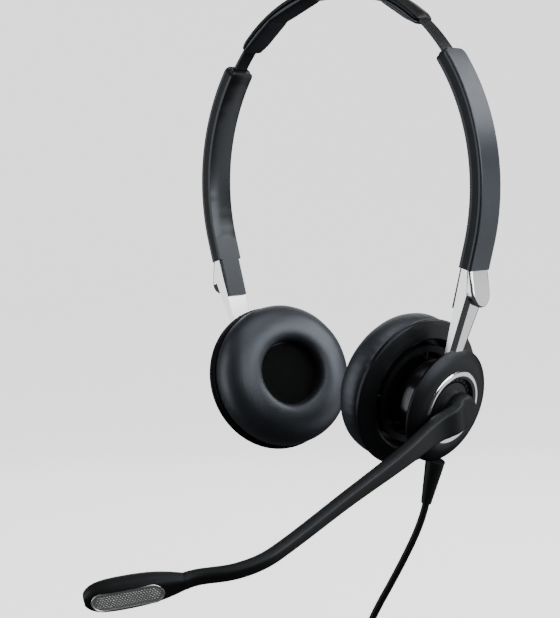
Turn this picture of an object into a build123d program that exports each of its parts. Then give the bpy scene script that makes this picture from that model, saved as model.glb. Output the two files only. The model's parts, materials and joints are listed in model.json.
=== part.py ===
"""Two-ear office headset with a boom microphone on the wearer's left.

The origin is where the head pad rests on the crown of the head. +Z is up, the wearer
faces -Y, and +X is the wearer's left. Both sides are built as the left one, in a hub
frame whose X axis points out of the hub and whose Z axis points up the fork, and the
right side is its mirror image.
"""

import os
from math import cos, degrees, pi, radians, sin, sqrt, tan

from build123d import *

# ---- headband -----------------------------------------------------------------------
TOP_RADIUS = 63.4  # centre line of the steel band over the crown
SIDE_RADIUS = 78.5  # centre line of the steel band down the sides
JOIN_ANGLE = 44.0  # degrees above level where the two radii meet
BAND_WIDTH = 6.5
BAND_THICK = 1.0
BAND_END_ANGLE = 16.0  # degrees above level where the band ends inside the arm

PAD_SPAN = 44.0  # degrees from the pad's middle to each of its ends
PAD_SHIFT = 3.0  # degrees that the pad sits towards the wearer's left
PAD_FOAM = 2.8
PAD_WIDTH = 10.6
PAD_LOBES = 5
PAD_GROOVE = 1.6
PAD_BACKING = 1.2
SHELL_THICK = 2.8
SHELL_WIDTH = 9.6
BAND_GROOVE_GAP = 0.1
RIVET_RADIUS = 1.1
RIVET_HEAD_RADIUS = 1.9
RIVET_HEAD = 0.6
RIVET_ANGLE = 30.0

# ---- sliding arms -------------------------------------------------------------------
ARM_WIDTH = 11.5
ARM_TOP_ANGLE = 36.5
ARM_END_HEIGHT = 51.5  # end of the arm above the hub centre, along the fork
FRAME_THICK = 2.6
COVER_THICK = 1.4
INNER_COVER_THICK = 1.2
ARM_STRAIGHT = 8.674  # straight run of the arm below its arc
ARM_DEPTH = -3.879  # middle of the arm at its lower end, measured out from the ring plane
INNER_COVER_TAIL = 15.0  # how far the inner cover runs on past the frame
COVER_ROUND = 0.7
ARM_CORNER = 2.4

SHOE_LENGTH = 4.0  # degrees of arc
SHOE_WIDTH = 8.4
SHOE_THICK = 1.5
SHOE_SIDE_GAP = 0.4
CHANNEL_LOW_ANGLE = 8.5
BUSH_LENGTH = 8.0  # degrees of arc
BUSH_SLOT_GAP = 0.35
SPRING_THICK = 0.25
SPRING_WIDTH = 3.0
SPRING_REACH = 7.0  # degrees of arc

# ---- fork and hub -------------------------------------------------------------------
HUB_TILT = 15.6  # degrees that the hub faces below level
HUB_RADIUS = 21.4
HUB_BACK_RADIUS = 19.9
HUB_DEPTH = 4.5
HUB_WEB = 1.1
HUB_EDGE_DEPTH = 1.6  # rounded edge between the housing's side and its back
HUB_EDGE_MIDDLE = (0.45, 0.42)  # middle of that round, from the back and in from the side
HUB_DOME_MIDDLE = (1.1, 2.3)  # middle of the dished front, behind its rim and in from the side
HUB_SEAT_DEPTH = 1.2
RECESS_RADIUS = 11.4

FORK_TOP_WIDTH = 11.0
FORK_TOP_OUTER = -1.5  # faces of the fork, measured out from the ring plane
FORK_KINK_OUTER = 0.2
FORK_LOW_OUTER = -3.0
FORK_LOW_INNER = -5.7
FORK_KINK_HEIGHT = 43.0
FORK_KINK_WIDTH = 10.6
FORK_LOW_WIDTH = 7.8
FORK_EMBED = 4.6  # how far the fork's foot goes into the hub
FORK_BEVEL = 2.2
FORK_GROOVE = 0.5
TANG_WIDTH = 6.0
TANG_THICK = 1.6
TANG_LENGTH = 11.0
TONGUE_WIDTH = 10.4
TONGUE_LENGTH = 12.5
TONGUE_TOP_OUTER = -1.3
TONGUE_TIP_OUTER = 1.7
TONGUE_ROUND = 1.0

RING_RADIUS = 14.25
RING_BORE = 11.5
RING_PROUD = 0.5
CAP_RIM = 1.4  # flat rim of the plain cap
CAP_BEVEL = 0.8
CAP_DISH = 0.6
NECK_RADIUS = 14.8
NECK_LENGTH = 10.9
NECK_ROUND = 3.6
NECK_SLOTS = 8
NECK_SLOT_DEPTH = 1.8
NECK_SLOT_WIDTH = 3.2
NECK_LUG_LOW = 9.6  # the lugs that hold the swivel pins, from the neck's axis
NECK_LUG_HIGH = 14.2
NECK_LUG_WIDTH = 4.6
NECK_LUG_BACK = 1.4  # behind the pins

# ---- cup, cushion and its gimbal ----------------------------------------------------
PIVOT_DEPTH = 16.5  # gimbal centre behind the ring plane
CUSHION_RADIUS = 27.8
CUSHION_HOLE = 12.0
CUSHION_FRONT = 17.2  # front of the cushion, from the gimbal centre
CUSHION_BACK = 2.4
CUSHION_HEM = 1.8  # how far the back edge lies inside the greatest radius
CUSHION_BULGE = 6.2  # from the back to the greatest radius
CUSHION_SIDE = (11.6, 2.6)  # end of the side, from the back and in from the greatest radius
CUSHION_CREST = 8.2  # front-most ring, in from the greatest radius
CUSHION_LIP = (2.2, 1.8)  # start of the mouth, behind the front and out from the hole
CUSHION_THROAT = (4.2, 0.2)  # narrowest ring, behind the front and out from the hole
CUSHION_SEAT = 0.6  # gap between the hole and the cushion's inner end
FLANGE_INSET = 0.5
BAFFLE_RINGS = ((4.0, 6), (8.0, 12))  # radius and number of holes
BAFFLE_HOLE = 1.1
CUP_RADIUS = 28.4
CUP_RIM_BACK = 1.2
CUP_RISE = 1.8
CUP_MOUTH = 21.0
CUP_FLOOR = 4.5
CUP_WALL = 1.2
CUP_LIP = 1.4  # wall round the mouth
CUP_LIP_TOP = 0.8  # flat left on the lip after its inner bevel
CUP_LIP_BEVEL = 0.4
CUP_EDGE = (0.8, 1.6)  # middle and end of the rounded rim, from its back
CUP_EDGE_IN = (0.5, 0.6)  # how far the rim's two ends lie inside its greatest radius
SKIRT_RADIUS = 19.2
BAFFLE_DEPTH = 10.0
BAFFLE_THICK = 1.0
CLOTH_THICK = 0.3
DRIVER_RADIUS = 14.0
MAGNET_RADIUS = 8.0
MAGNET_BACK = 6.0
BASKET_BACK = 7.4

GIMBAL_BORE = 16.3
GIMBAL_RADIUS = 18.8
GIMBAL_HEIGHT = 2.4
PIN_RADIUS = 0.7
PIN_FIT = 0.05
PIN_SEAT = 1.2  # how far a swivel pin starts inside the neck's flat end
PIN_END_GAP = 0.6  # between a swivel pin's end and the gimbal ring's outer face
TILT_PIN_SEAT = 0.8
TILT_PIN_REACH = 1.6  # how far a tilt pin goes past the cup's mouth
TILT_PIN_BORE = 1.8  # how far its bore goes past the mouth
CONE_EDGE = 2.0  # flat edge of the speaker cone
CONE_DEPTH = 0.8  # how far the cone's middle lies behind the basket's back
LEFT_CUP_TURN = -8.0  # degrees that each cup is turned in its gimbal at rest
RIGHT_CUP_TURN = 18.0

# ---- boom microphone ----------------------------------------------------------------
ROTOR_RADIUS = 9.4
ROTOR_GAP = 0.3
ROTOR_BOSS = 6.2
DETENT_BORE = 9.9
DETENT_TEETH = 28
DETENT_NOTCH = 0.64
DETENT_LEDGE = 1.0  # web left behind the teeth
DETENT_GAP = 0.1
AXLE_RADIUS = 2.0
AXLE_FIT = 0.05
PADDLE_RADIUS = 6.8
PADDLE_LOW = 1.3
PADDLE_THICK = 4.8
BOOM_START_SIZE = (8.6, 4.6)
BOOM_MID_SIZE = (5.6, 4.4)
BOOM_END_SIZE = (5.0, 4.4)
BOOM_REACH = 92.8
BOOM_DROP = 41.7
BOOM_INWARD = 45.0  # degrees that the last stretch turns towards the mouth
BOOM_LAST = 57.0  # from the bend to the tip of the microphone
BOOM_SINK = 0.166  # drop of the last stretch per unit of length
MIC_LENGTH = 33.0
MIC_HEIGHT = 11.0
MIC_THICK = 8.2
MIC_LOOK_DOWN = 0.55  # how far its grille faces below level, as a slope
MIC_NECK = (5.4, 4.8)
GRILLE_LENGTH = 24.0
GRILLE_HEIGHT = 7.8
GRILLE_THICK = 0.5
GRILLE_FORWARD = 2.2
CAPSULE_RADIUS = 2.3
CAPSULE_THICK = 2.2

# ---- cord and plug ------------------------------------------------------------------
CORD_RADIUS = 1.35
RELIEF_TOP_RADIUS = 4.1
RELIEF_END_RADIUS = 1.9
RELIEF_START = 17.0  # top of the strain relief below the hub centre
RELIEF_LENGTH = 21.0
RELIEF_OFFSET = 2.5
RELIEF_GROOVES = 6
COIL_RADIUS = 15.5
COIL_BUNDLE = 4.8
TIE_WIDTH = 34.0  # degrees of arc
TIE_THICK = 1.0
PLUG_RADIUS = 4.2
PLUG_LENGTH = 19.0
PLUG_BOOT = 9.0
JACK_RADIUS = 1.75
JACK_LENGTH = 14.0
JACK_COLLAR = 2.6

EDGE_MATCH = 0.05  # tolerance for finding an edge by its place
CUT_OVERRUN = 1.0  # how far a cutting shape runs past the face that it cuts

# ---- places that follow from the sizes above ----------------------------------------
CROWN_Z = PAD_FOAM + BAND_THICK / 2
TOP_CENTRE = (0.0, CROWN_Z - TOP_RADIUS)
SIDE_SHIFT = SIDE_RADIUS - TOP_RADIUS
SIDE_CENTRE = (
    -SIDE_SHIFT * cos(radians(JOIN_ANGLE)),
    TOP_CENTRE[1] - SIDE_SHIFT * sin(radians(JOIN_ANGLE)),
)
ARM_LOW_ANGLE = -HUB_TILT  # the arm's arc ends level with the fork and runs on straight
ARM_ARC_HEIGHT = ARM_END_HEIGHT + ARM_STRAIGHT
HUB_OUT = Vector(cos(radians(HUB_TILT)), 0, -sin(radians(HUB_TILT)))
HUB_UP = Vector(sin(radians(HUB_TILT)), 0, cos(radians(HUB_TILT)))
HUB_CENTRE = (
    Vector(SIDE_CENTRE[0], 0, SIDE_CENTRE[1])
    + HUB_OUT * (SIDE_RADIUS - ARM_DEPTH)
    - HUB_UP * ARM_ARC_HEIGHT
)
HUB = Location(tuple(HUB_CENTRE), (0, HUB_TILT, 0))
FRAME_LOW = SIDE_RADIUS - FRAME_THICK / 2
FRAME_HIGH = SIDE_RADIUS + FRAME_THICK / 2
FORK_TOP_INNER = ARM_DEPTH - FRAME_THICK / 2
FORK_FOOT_HEIGHT = HUB_RADIUS - FORK_EMBED


def mirrored(solid):
    """The same piece on the wearer's right."""
    return mirror(solid, about=Plane.YZ)


def arc_bar(centre, inner, outer, width, low, high):
    """A flat bar bent round an axis along Y, from the low to the high angle in degrees."""

    def at(radius, angle):
        turn = radians(angle)
        return centre[0] + radius * cos(turn), centre[1] + radius * sin(turn)

    middle = (low + high) / 2
    outline = [
        ThreePointArc(at(outer, low), at(outer, middle), at(outer, high)),
        Line(at(outer, high), at(inner, high)),
        ThreePointArc(at(inner, high), at(inner, middle), at(inner, low)),
        Line(at(inner, low), at(outer, low)),
    ]
    return extrude(Plane.XZ * make_face(outline), amount=width / 2, both=True)


def turned(outline):
    """A solid of revolution about the X axis from a closed list of edges."""
    return revolve(make_face(outline), axis=Axis.X)


def turned_points(*points):
    """A solid of revolution about the X axis from (along, radius) corners."""
    return turned(Polyline(*points, close=True))


def tube(inner, outer, start, end):
    """A plain ring about the X axis."""
    return turned_points((start, inner), (start, outer), (end, outer), (end, inner))


def disc(radius, start, end):
    """A plain disc about the X axis."""
    return turned_points((start, 0), (start, radius), (end, radius), (end, 0))


def box(x_range, y_range, z_range):
    """A block between three pairs of limits."""
    spans = (x_range, y_range, z_range)
    size = [high - low for low, high in spans]
    middle = [(high + low) / 2 for low, high in spans]
    return Pos(*middle) * Box(*size)


# ---- headband pieces ----------------------------------------------------------------
def side_band():
    """The stretch of steel band from the join down into one arm."""
    low = SIDE_RADIUS - BAND_THICK / 2
    return arc_bar(SIDE_CENTRE, low, low + BAND_THICK, BAND_WIDTH, BAND_END_ANGLE, JOIN_ANGLE)


def steel_band():
    low = TOP_RADIUS - BAND_THICK / 2
    crown = arc_bar(TOP_CENTRE, low, low + BAND_THICK, BAND_WIDTH, JOIN_ANGLE, 180 - JOIN_ANGLE)
    side = side_band()
    return crown + side + mirrored(side) - rivets(RIVET_RADIUS)


def crown_place(turn):
    """Frame on the band's centre line, at an angle from the pad's middle, square to it."""
    centre = Pos(TOP_CENTRE[0], 0, TOP_CENTRE[1])
    return centre * Rot(0, turn + PAD_SHIFT, 0) * Pos(0, 0, TOP_RADIUS)


def rivets(radius):
    """Two plain pins through the band, square to it."""
    pin = Cylinder(radius, BAND_THICK)
    return crown_place(-RIVET_ANGLE) * pin + crown_place(RIVET_ANGLE) * pin


def pad_rivets():
    """Rivets that clamp the band between the shell and the pad, heads in the shell."""
    head = Pos(0, 0, (BAND_THICK + RIVET_HEAD) / 2) * Cylinder(RIVET_HEAD_RADIUS, RIVET_HEAD)
    heads = crown_place(-RIVET_ANGLE) * head + crown_place(RIVET_ANGLE) * head
    return rivets(RIVET_RADIUS) + heads


def crown_bar(inner, outer, width, low_turn, high_turn):
    """A bar along the crown, between two angles from the pad's middle."""
    middle = 90 - PAD_SHIFT
    return arc_bar(TOP_CENTRE, inner, outer, width, middle + low_turn, middle + high_turn)


def headpad_shell():
    """Stiff cover over the crown, grooved underneath for the band."""
    low = TOP_RADIUS - BAND_THICK / 2
    shell = crown_bar(low, low + SHELL_THICK, SHELL_WIDTH, -PAD_SPAN, PAD_SPAN)
    groove_high = low + BAND_THICK + BAND_GROOVE_GAP
    groove_width = BAND_WIDTH + 2 * BAND_GROOVE_GAP
    past = PAD_SPAN + 2
    shell -= crown_bar(low - 1, groove_high, groove_width, -past, past)
    return shell - pad_rivets()


def headpad_cushion():
    """Soft pad under the band: one backing strip with a row of lobes."""
    high = TOP_RADIUS - BAND_THICK / 2
    backing = high - PAD_BACKING
    pad = crown_bar(backing, high, PAD_WIDTH, -PAD_SPAN, PAD_SPAN)
    pitch = 2 * PAD_SPAN / PAD_LOBES
    gap = degrees(PAD_GROOVE / TOP_RADIUS)
    for lobe in range(PAD_LOBES):
        start = -PAD_SPAN + lobe * pitch + gap / 2
        pad += crown_bar(high - PAD_FOAM, backing, PAD_WIDTH, start, start + pitch - gap)
    return pad


def band_shoe():
    """Stop riveted on the band's end, which runs in the arm's channel."""
    low = SIDE_RADIUS - SHOE_THICK / 2
    high_angle = BAND_END_ANGLE + SHOE_LENGTH
    shoe = arc_bar(SIDE_CENTRE, low, low + SHOE_THICK, SHOE_WIDTH, BAND_END_ANGLE, high_angle)
    return shoe - side_band()


# ---- arm pieces ---------------------------------------------------------------------
def channel():
    """The space in the arm's frame that the shoe slides in."""
    width = SHOE_WIDTH + 2 * SHOE_SIDE_GAP
    return arc_bar(
        SIDE_CENTRE, FRAME_LOW - 1, FRAME_HIGH + 1, width, CHANNEL_LOW_ANGLE, ARM_TOP_ANGLE + 1
    )


def round_top(bar):
    """Round the two upper corners of an arm piece, seen from outside."""
    limit = SIDE_CENTRE[1] + FRAME_LOW * sin(radians(ARM_TOP_ANGLE - 2))
    corners = [edge for edge in bar.edges().filter_by(GeomType.LINE) if is_corner(edge, limit)]
    return fillet(corners, radius=ARM_CORNER)


def is_corner(edge, lowest):
    """True for the short edges across the bar's thickness at its upper end."""
    middle = edge.center()
    return middle.Z > lowest and abs(abs(middle.Y) - ARM_WIDTH / 2) < 0.01


def arm_bar(inner, outer):
    """A layer of the arm between two radii: the arc and the straight run below it."""
    arc = arc_bar(SIDE_CENTRE, inner, outer, ARM_WIDTH, ARM_LOW_ANGLE, ARM_TOP_ANGLE)
    span = (ARM_DEPTH + inner - SIDE_RADIUS, ARM_DEPTH + outer - SIDE_RADIUS)
    half = ARM_WIDTH / 2
    straight = box(span, (-half, half), (ARM_END_HEIGHT, ARM_ARC_HEIGHT))
    return round_top(arc + HUB * straight)


def arm_frame():
    """Middle layer of the arm, with the channel for the band's shoe."""
    return arm_bar(FRAME_LOW, FRAME_HIGH) - channel() - HUB * fork_tang()


def arm_cover():
    """Outer skin of the arm, with rounded long edges."""
    cover = arm_bar(FRAME_HIGH, FRAME_HIGH + COVER_THICK)
    rim = [edge for edge in cover.edges() if is_outer_edge(edge)]
    return fillet(rim, radius=COVER_ROUND)


def is_outer_edge(edge):
    """True for the long edges of the cover's outer face, on its arc and straight runs."""
    middle = edge.position_at(0.5)
    reach = distance_from_side_centre(middle)
    depth = (HUB.inverse() * Pos(*middle)).position.X
    outer_arc = abs(reach - FRAME_HIGH - COVER_THICK) < EDGE_MATCH
    outer_run = abs(depth - ARM_DEPTH - FRAME_THICK / 2 - COVER_THICK) < EDGE_MATCH
    return abs(edge.tangent_at(0.5).Y) < EDGE_MATCH and (outer_arc or outer_run)


def inner_cover():
    """Inner skin of the arm, which runs on down behind the fork."""
    skin = arm_bar(FRAME_LOW - INNER_COVER_THICK, FRAME_LOW)
    half = FORK_KINK_WIDTH / 2 - COVER_ROUND
    span = (FORK_TOP_INNER - INNER_COVER_THICK, FORK_TOP_INNER)
    tail = box(span, (-half, half), (ARM_END_HEIGHT - INNER_COVER_TAIL, ARM_END_HEIGHT))
    return skin + HUB * (tail - fork_body())


def mouth_bush():
    """Guide at the arm's upper end that the band runs through and the shoe stops at."""
    width = SHOE_WIDTH + 2 * SHOE_SIDE_GAP
    low_angle = ARM_TOP_ANGLE - BUSH_LENGTH
    bush = arc_bar(SIDE_CENTRE, FRAME_LOW, FRAME_HIGH, width, low_angle, ARM_TOP_ANGLE)
    slot_low = SIDE_RADIUS - BAND_THICK / 2 - BUSH_SLOT_GAP
    slot_high = SIDE_RADIUS + BAND_THICK / 2 + BUSH_SLOT_GAP
    slot_width = BAND_WIDTH + 2 * BUSH_SLOT_GAP
    return bush - arc_bar(
        SIDE_CENTRE, slot_low, slot_high, slot_width, low_angle - 1, ARM_TOP_ANGLE + 1
    )


def detent_spring():
    """Leaf that rubs the shoe, to hold the arm where it is set."""
    high_angle = ARM_TOP_ANGLE - BUSH_LENGTH - 1
    leaf = arc_bar(
        SIDE_CENTRE,
        FRAME_LOW,
        FRAME_LOW + SPRING_THICK,
        SPRING_WIDTH,
        high_angle - SPRING_REACH,
        high_angle,
    )
    return leaf


# ---- fork and hub pieces, in the hub frame ------------------------------------------
def fork_section(height, width, inner, outer):
    """Bevelled outline of the fork at one height, with a groove beside its outer face."""
    half = width / 2
    face = half - FORK_BEVEL
    step = FORK_GROOVE / 2
    edge = [
        (inner, half),
        (outer - FORK_BEVEL / 2, half),
        (outer - step, face + 2 * step),
        (outer - 2 * step, face + step),
        (outer, face),
    ]
    points = [(x, -y) for x, y in edge] + edge[::-1]
    return Pos(0, 0, height) * make_face(Polyline(*points, close=True))


def fork_body():
    """The tapered bar from the arm to the hub, deepest at its kink."""
    sections = [
        fork_section(ARM_END_HEIGHT, FORK_TOP_WIDTH, FORK_TOP_INNER, FORK_TOP_OUTER),
        fork_section(FORK_KINK_HEIGHT, FORK_KINK_WIDTH, FORK_TOP_INNER, FORK_KINK_OUTER),
        fork_section(FORK_FOOT_HEIGHT, FORK_LOW_WIDTH, FORK_LOW_INNER, FORK_LOW_OUTER),
    ]
    return loft(sections, ruled=True)


def fork_tang():
    """The tongue of the fork that is held inside the arm's frame."""
    span = (ARM_DEPTH - TANG_THICK / 2, ARM_DEPTH + TANG_THICK / 2)
    half = TANG_WIDTH / 2
    return box(span, (-half, half), (ARM_END_HEIGHT - 1, ARM_END_HEIGHT + TANG_LENGTH))


def fork_tongue():
    """Raised round-ended pad that carries the arm's outer face on down the fork."""
    half = TONGUE_WIDTH / 2
    tip = ARM_END_HEIGHT - TONGUE_LENGTH
    back = FORK_LOW_OUTER
    slope = (TONGUE_TIP_OUTER - TONGUE_TOP_OUTER) / (TONGUE_LENGTH - half)
    profile = [
        (back, ARM_END_HEIGHT),
        (TONGUE_TOP_OUTER, ARM_END_HEIGHT),
        (TONGUE_TOP_OUTER + slope * TONGUE_LENGTH, tip),
        (back, tip),
    ]
    wedge = extrude(Plane.XZ * make_face(Polyline(*profile, close=True)), amount=half, both=True)
    reach = (back - half, half + FORK_TOP_WIDTH)
    slug = box(reach, (-half, half), (tip + half, ARM_END_HEIGHT))
    slug += Pos(0, 0, tip + half) * Rot(0, 90, 0) * Cylinder(half, 2 * FORK_TOP_WIDTH)
    pad = wedge & slug
    rim = [edge for edge in pad.edges() if is_tongue_rim(edge)]
    return fillet(rim, radius=TONGUE_ROUND)


def is_tongue_rim(edge):
    """True for the edges round the tongue's outer face, but not where the arm sits."""
    middle = edge.position_at(0.5)
    return middle.X > TONGUE_TOP_OUTER + EDGE_MATCH and abs(middle.Z - ARM_END_HEIGHT) > EDGE_MATCH


def distance_from_side_centre(point):
    """How far a point lies from the axis that the arm is bent round."""
    return sqrt((point.X - SIDE_CENTRE[0]) ** 2 + (point.Z - SIDE_CENTRE[1]) ** 2)


def fork():
    """The whole fork, cut off square where the arm sits on it."""
    return fork_body() + fork_tongue() + fork_tang()


def hub_housing():
    """Round housing with a dished front, a seat for the ring and a web for the axle."""
    outline = [
        Line((-HUB_DEPTH, NECK_RADIUS), (-HUB_DEPTH, HUB_BACK_RADIUS)),
        ThreePointArc(
            (-HUB_DEPTH, HUB_BACK_RADIUS),
            (HUB_EDGE_MIDDLE[0] - HUB_DEPTH, HUB_RADIUS - HUB_EDGE_MIDDLE[1]),
            (HUB_EDGE_DEPTH - HUB_DEPTH, HUB_RADIUS),
        ),
        ThreePointArc(
            (HUB_EDGE_DEPTH - HUB_DEPTH, HUB_RADIUS),
            (-HUB_DOME_MIDDLE[0], HUB_RADIUS - HUB_DOME_MIDDLE[1]),
            (0, RING_RADIUS),
        ),
        Line((0, RING_RADIUS), (-HUB_SEAT_DEPTH, RING_RADIUS)),
        Line((-HUB_SEAT_DEPTH, RING_RADIUS), (-HUB_SEAT_DEPTH, RECESS_RADIUS)),
        Line((-HUB_SEAT_DEPTH, RECESS_RADIUS), (HUB_WEB - HUB_DEPTH, RECESS_RADIUS)),
        Line((HUB_WEB - HUB_DEPTH, RECESS_RADIUS), (HUB_WEB - HUB_DEPTH, AXLE_RADIUS)),
        Line((HUB_WEB - HUB_DEPTH, AXLE_RADIUS), (-HUB_DEPTH, AXLE_RADIUS)),
        Line((-HUB_DEPTH, AXLE_RADIUS), (-HUB_DEPTH, NECK_RADIUS)),
    ]
    return turned(outline) - fork_body()


def hub_neck():
    """Round neck behind the hub, with slots round its root."""
    start = -HUB_DEPTH
    end = start - NECK_LENGTH
    wall = NECK_RADIUS - CUP_WALL
    outline = [
        Line((start, wall), (start, NECK_RADIUS)),
        Line((start, NECK_RADIUS), (end + NECK_ROUND, NECK_RADIUS)),
        RadiusArc(
            (end + NECK_ROUND, NECK_RADIUS), (end, NECK_RADIUS - NECK_ROUND), -NECK_ROUND
        ),
        Line((end, NECK_RADIUS - NECK_ROUND), (end, 0)),
        Line((end, 0), (end + CUP_WALL, 0)),
        Line((end + CUP_WALL, 0), (end + NECK_ROUND, wall)),
        Line((end + NECK_ROUND, wall), (start, wall)),
    ]
    neck = turned(outline)
    for index in range(NECK_SLOTS):
        turn = 360 * (index + 0.5) / NECK_SLOTS
        depth = (start - NECK_SLOT_DEPTH, start + CUT_OVERRUN)
        reach = (wall - CUT_OVERRUN, NECK_RADIUS + CUT_OVERRUN)
        slot = box(depth, reach, (-NECK_SLOT_WIDTH / 2, NECK_SLOT_WIDTH / 2))
        neck -= Rot(turn, 0, 0) * slot
    half = NECK_LUG_WIDTH / 2
    lug_span = (-PIVOT_DEPTH - NECK_LUG_BACK, end + NECK_ROUND)
    for low, high in ((NECK_LUG_LOW, NECK_LUG_HIGH), (-NECK_LUG_HIGH, -NECK_LUG_LOW)):
        neck += box(lug_span, (-half, half), (low, high))
    return neck - swivel_pins()


def trim_ring():
    """Bright ring seated round the recess."""
    outline = [
        Line((-HUB_SEAT_DEPTH, RING_BORE), (-HUB_SEAT_DEPTH, RING_RADIUS)),
        Line((-HUB_SEAT_DEPTH, RING_RADIUS), (0.0, RING_RADIUS)),
        ThreePointArc(
            (0.0, RING_RADIUS),
            (RING_PROUD, (RING_RADIUS + RING_BORE) / 2),
            (0.0, RING_BORE),
        ),
        Line((0.0, RING_BORE), (-HUB_SEAT_DEPTH, RING_BORE)),
    ]
    return turned(outline)


def detent_ring():
    """Toothed ring round the rotor, which gives the boom its clicks."""
    start = HUB_WEB - HUB_DEPTH
    ring = tube(DETENT_BORE, RECESS_RADIUS, start, -HUB_SEAT_DEPTH - DETENT_GAP)
    for index in range(DETENT_TEETH):
        depth = (start + DETENT_LEDGE, CUT_OVERRUN)
        reach = (DETENT_BORE - CUT_OVERRUN, DETENT_BORE + CUT_OVERRUN)
        notch = box(depth, reach, (-DETENT_NOTCH / 2, DETENT_NOTCH / 2))
        ring -= Rot(360 * index / DETENT_TEETH, 0, 0) * notch
    return ring


def hub_cap():
    """Plain dished cap that fills the recess on the side with no boom."""
    floor = HUB_WEB - HUB_DEPTH
    rim = -HUB_SEAT_DEPTH
    return turned_points(
        (floor, 0),
        (floor, RECESS_RADIUS),
        (rim, RECESS_RADIUS),
        (rim, RECESS_RADIUS - CAP_RIM),
        (rim - CAP_DISH, RECESS_RADIUS - CAP_RIM - CAP_BEVEL),
        (rim - CAP_DISH, 0),
    )


# ---- gimbal and cup pieces, in the cup frame ----------------------------------------
def cup_place(turn):
    """Frame at the gimbal centre, turned by the cup's rest angle."""
    return HUB * Pos(-PIVOT_DEPTH, 0, 0) * Rot(0, 0, turn)


def pin(radius, start, end, turn):
    """A pin across the gimbal, starting at a distance from its centre."""
    length = end - start
    return Rot(turn, 0, 0) * Pos(0, 0, (start + end) / 2) * Cylinder(radius, length)


def pin_pair(radius, start, end, turn):
    return pin(radius, start, end, turn) + pin(radius, start, end, turn + 180)


def swivel_pins():
    """Upright pins, fixed in the neck, on which the gimbal ring swivels."""
    pins = pin_pair(PIN_RADIUS, NECK_RADIUS - NECK_ROUND - PIN_SEAT, GIMBAL_RADIUS - PIN_END_GAP, 0)
    return Pos(-PIVOT_DEPTH, 0, 0) * pins


def tilt_pins():
    """Level pins, fixed in the gimbal ring, on which the cup tilts."""
    return pin_pair(PIN_RADIUS, GIMBAL_BORE + TILT_PIN_SEAT, CUP_MOUTH + TILT_PIN_REACH, 90)


def gimbal_ring():
    half = GIMBAL_HEIGHT / 2
    ring = tube(GIMBAL_BORE, GIMBAL_RADIUS, -half, half)
    ring -= pin_pair(PIN_RADIUS + PIN_FIT, GIMBAL_BORE - 1, GIMBAL_RADIUS - 0.5, 0)
    return ring - tilt_pins()


def cup_back():
    """Dish behind the cushion, with a deep mouth for the gimbal."""
    rim = -CUP_RIM_BACK
    floor_back = -CUP_FLOOR - CUP_WALL
    edge_start = (rim, CUP_RADIUS - CUP_EDGE_IN[0])
    edge_end = (rim + CUP_EDGE[1], CUP_RADIUS - CUP_EDGE_IN[1])
    lip_high = (CUP_RISE, CUP_MOUTH + CUP_LIP_TOP)
    lip_low = (CUP_RISE - CUP_LIP_BEVEL, CUP_MOUTH)
    outline = [
        Line((rim, CUP_MOUTH + CUP_LIP), edge_start),
        ThreePointArc(edge_start, (rim + CUP_EDGE[0], CUP_RADIUS), edge_end),
        Line(edge_end, lip_high),
        Line(lip_high, lip_low),
        Line(lip_low, (floor_back, CUP_MOUTH)),
        Line((floor_back, CUP_MOUTH), (floor_back, CUP_MOUTH + CUP_LIP)),
        Line((floor_back, CUP_MOUTH + CUP_LIP), (rim, CUP_MOUTH + CUP_LIP)),
    ]
    bores = pin_pair(PIN_RADIUS + PIN_FIT, CUP_MOUTH - CUT_OVERRUN, CUP_MOUTH + TILT_PIN_BORE, 90)
    return turned(outline) - bores


def cup_partition():
    """Plate that closes the mouth behind the speaker, with the speaker's skirt."""
    floor_back = -CUP_FLOOR - CUP_WALL
    return turned_points(
        (-CUP_FLOOR, 0),
        (-CUP_FLOOR, CUP_MOUTH),
        (floor_back, CUP_MOUTH),
        (floor_back, SKIRT_RADIUS),
        (-BAFFLE_DEPTH, SKIRT_RADIUS),
        (-BAFFLE_DEPTH, SKIRT_RADIUS - CUP_WALL),
        (floor_back, SKIRT_RADIUS - CUP_WALL),
        (floor_back, 0),
    )


def cushion_flange():
    """Thin ring that the cushion is stretched over."""
    return tube(CUP_MOUTH + CUP_LIP, CUSHION_RADIUS - FLANGE_INSET, -CUSHION_BACK, -CUP_RIM_BACK)


def ear_cushion():
    """Round cushion with a hole, its back hollowed for the cup's skirt."""
    inner = CUP_MOUTH + CUP_LIP
    step = CUP_FLOOR + CUP_WALL
    front = BAFFLE_DEPTH + BAFFLE_THICK
    side_end = (-CUSHION_BACK - CUSHION_SIDE[0], CUSHION_RADIUS - CUSHION_SIDE[1])
    lip = (CUSHION_LIP[0] - CUSHION_FRONT, CUSHION_HOLE + CUSHION_LIP[1])
    throat = (CUSHION_THROAT[0] - CUSHION_FRONT, CUSHION_HOLE + CUSHION_THROAT[1])
    seat = (-front, CUSHION_HOLE + CUSHION_SEAT)
    outline = [
        Line((-CUSHION_BACK, inner), (-CUSHION_BACK, CUSHION_RADIUS - CUSHION_HEM)),
        ThreePointArc(
            (-CUSHION_BACK, CUSHION_RADIUS - CUSHION_HEM),
            (-CUSHION_BACK - CUSHION_BULGE, CUSHION_RADIUS),
            side_end,
        ),
        ThreePointArc(side_end, (-CUSHION_FRONT, CUSHION_RADIUS - CUSHION_CREST), lip),
        ThreePointArc(lip, throat, seat),
        Line(seat, (-front, SKIRT_RADIUS)),
        Line((-front, SKIRT_RADIUS), (-step, SKIRT_RADIUS)),
        Line((-step, SKIRT_RADIUS), (-step, inner)),
        Line((-step, inner), (-CUSHION_BACK, inner)),
    ]
    return turned(outline)


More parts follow.
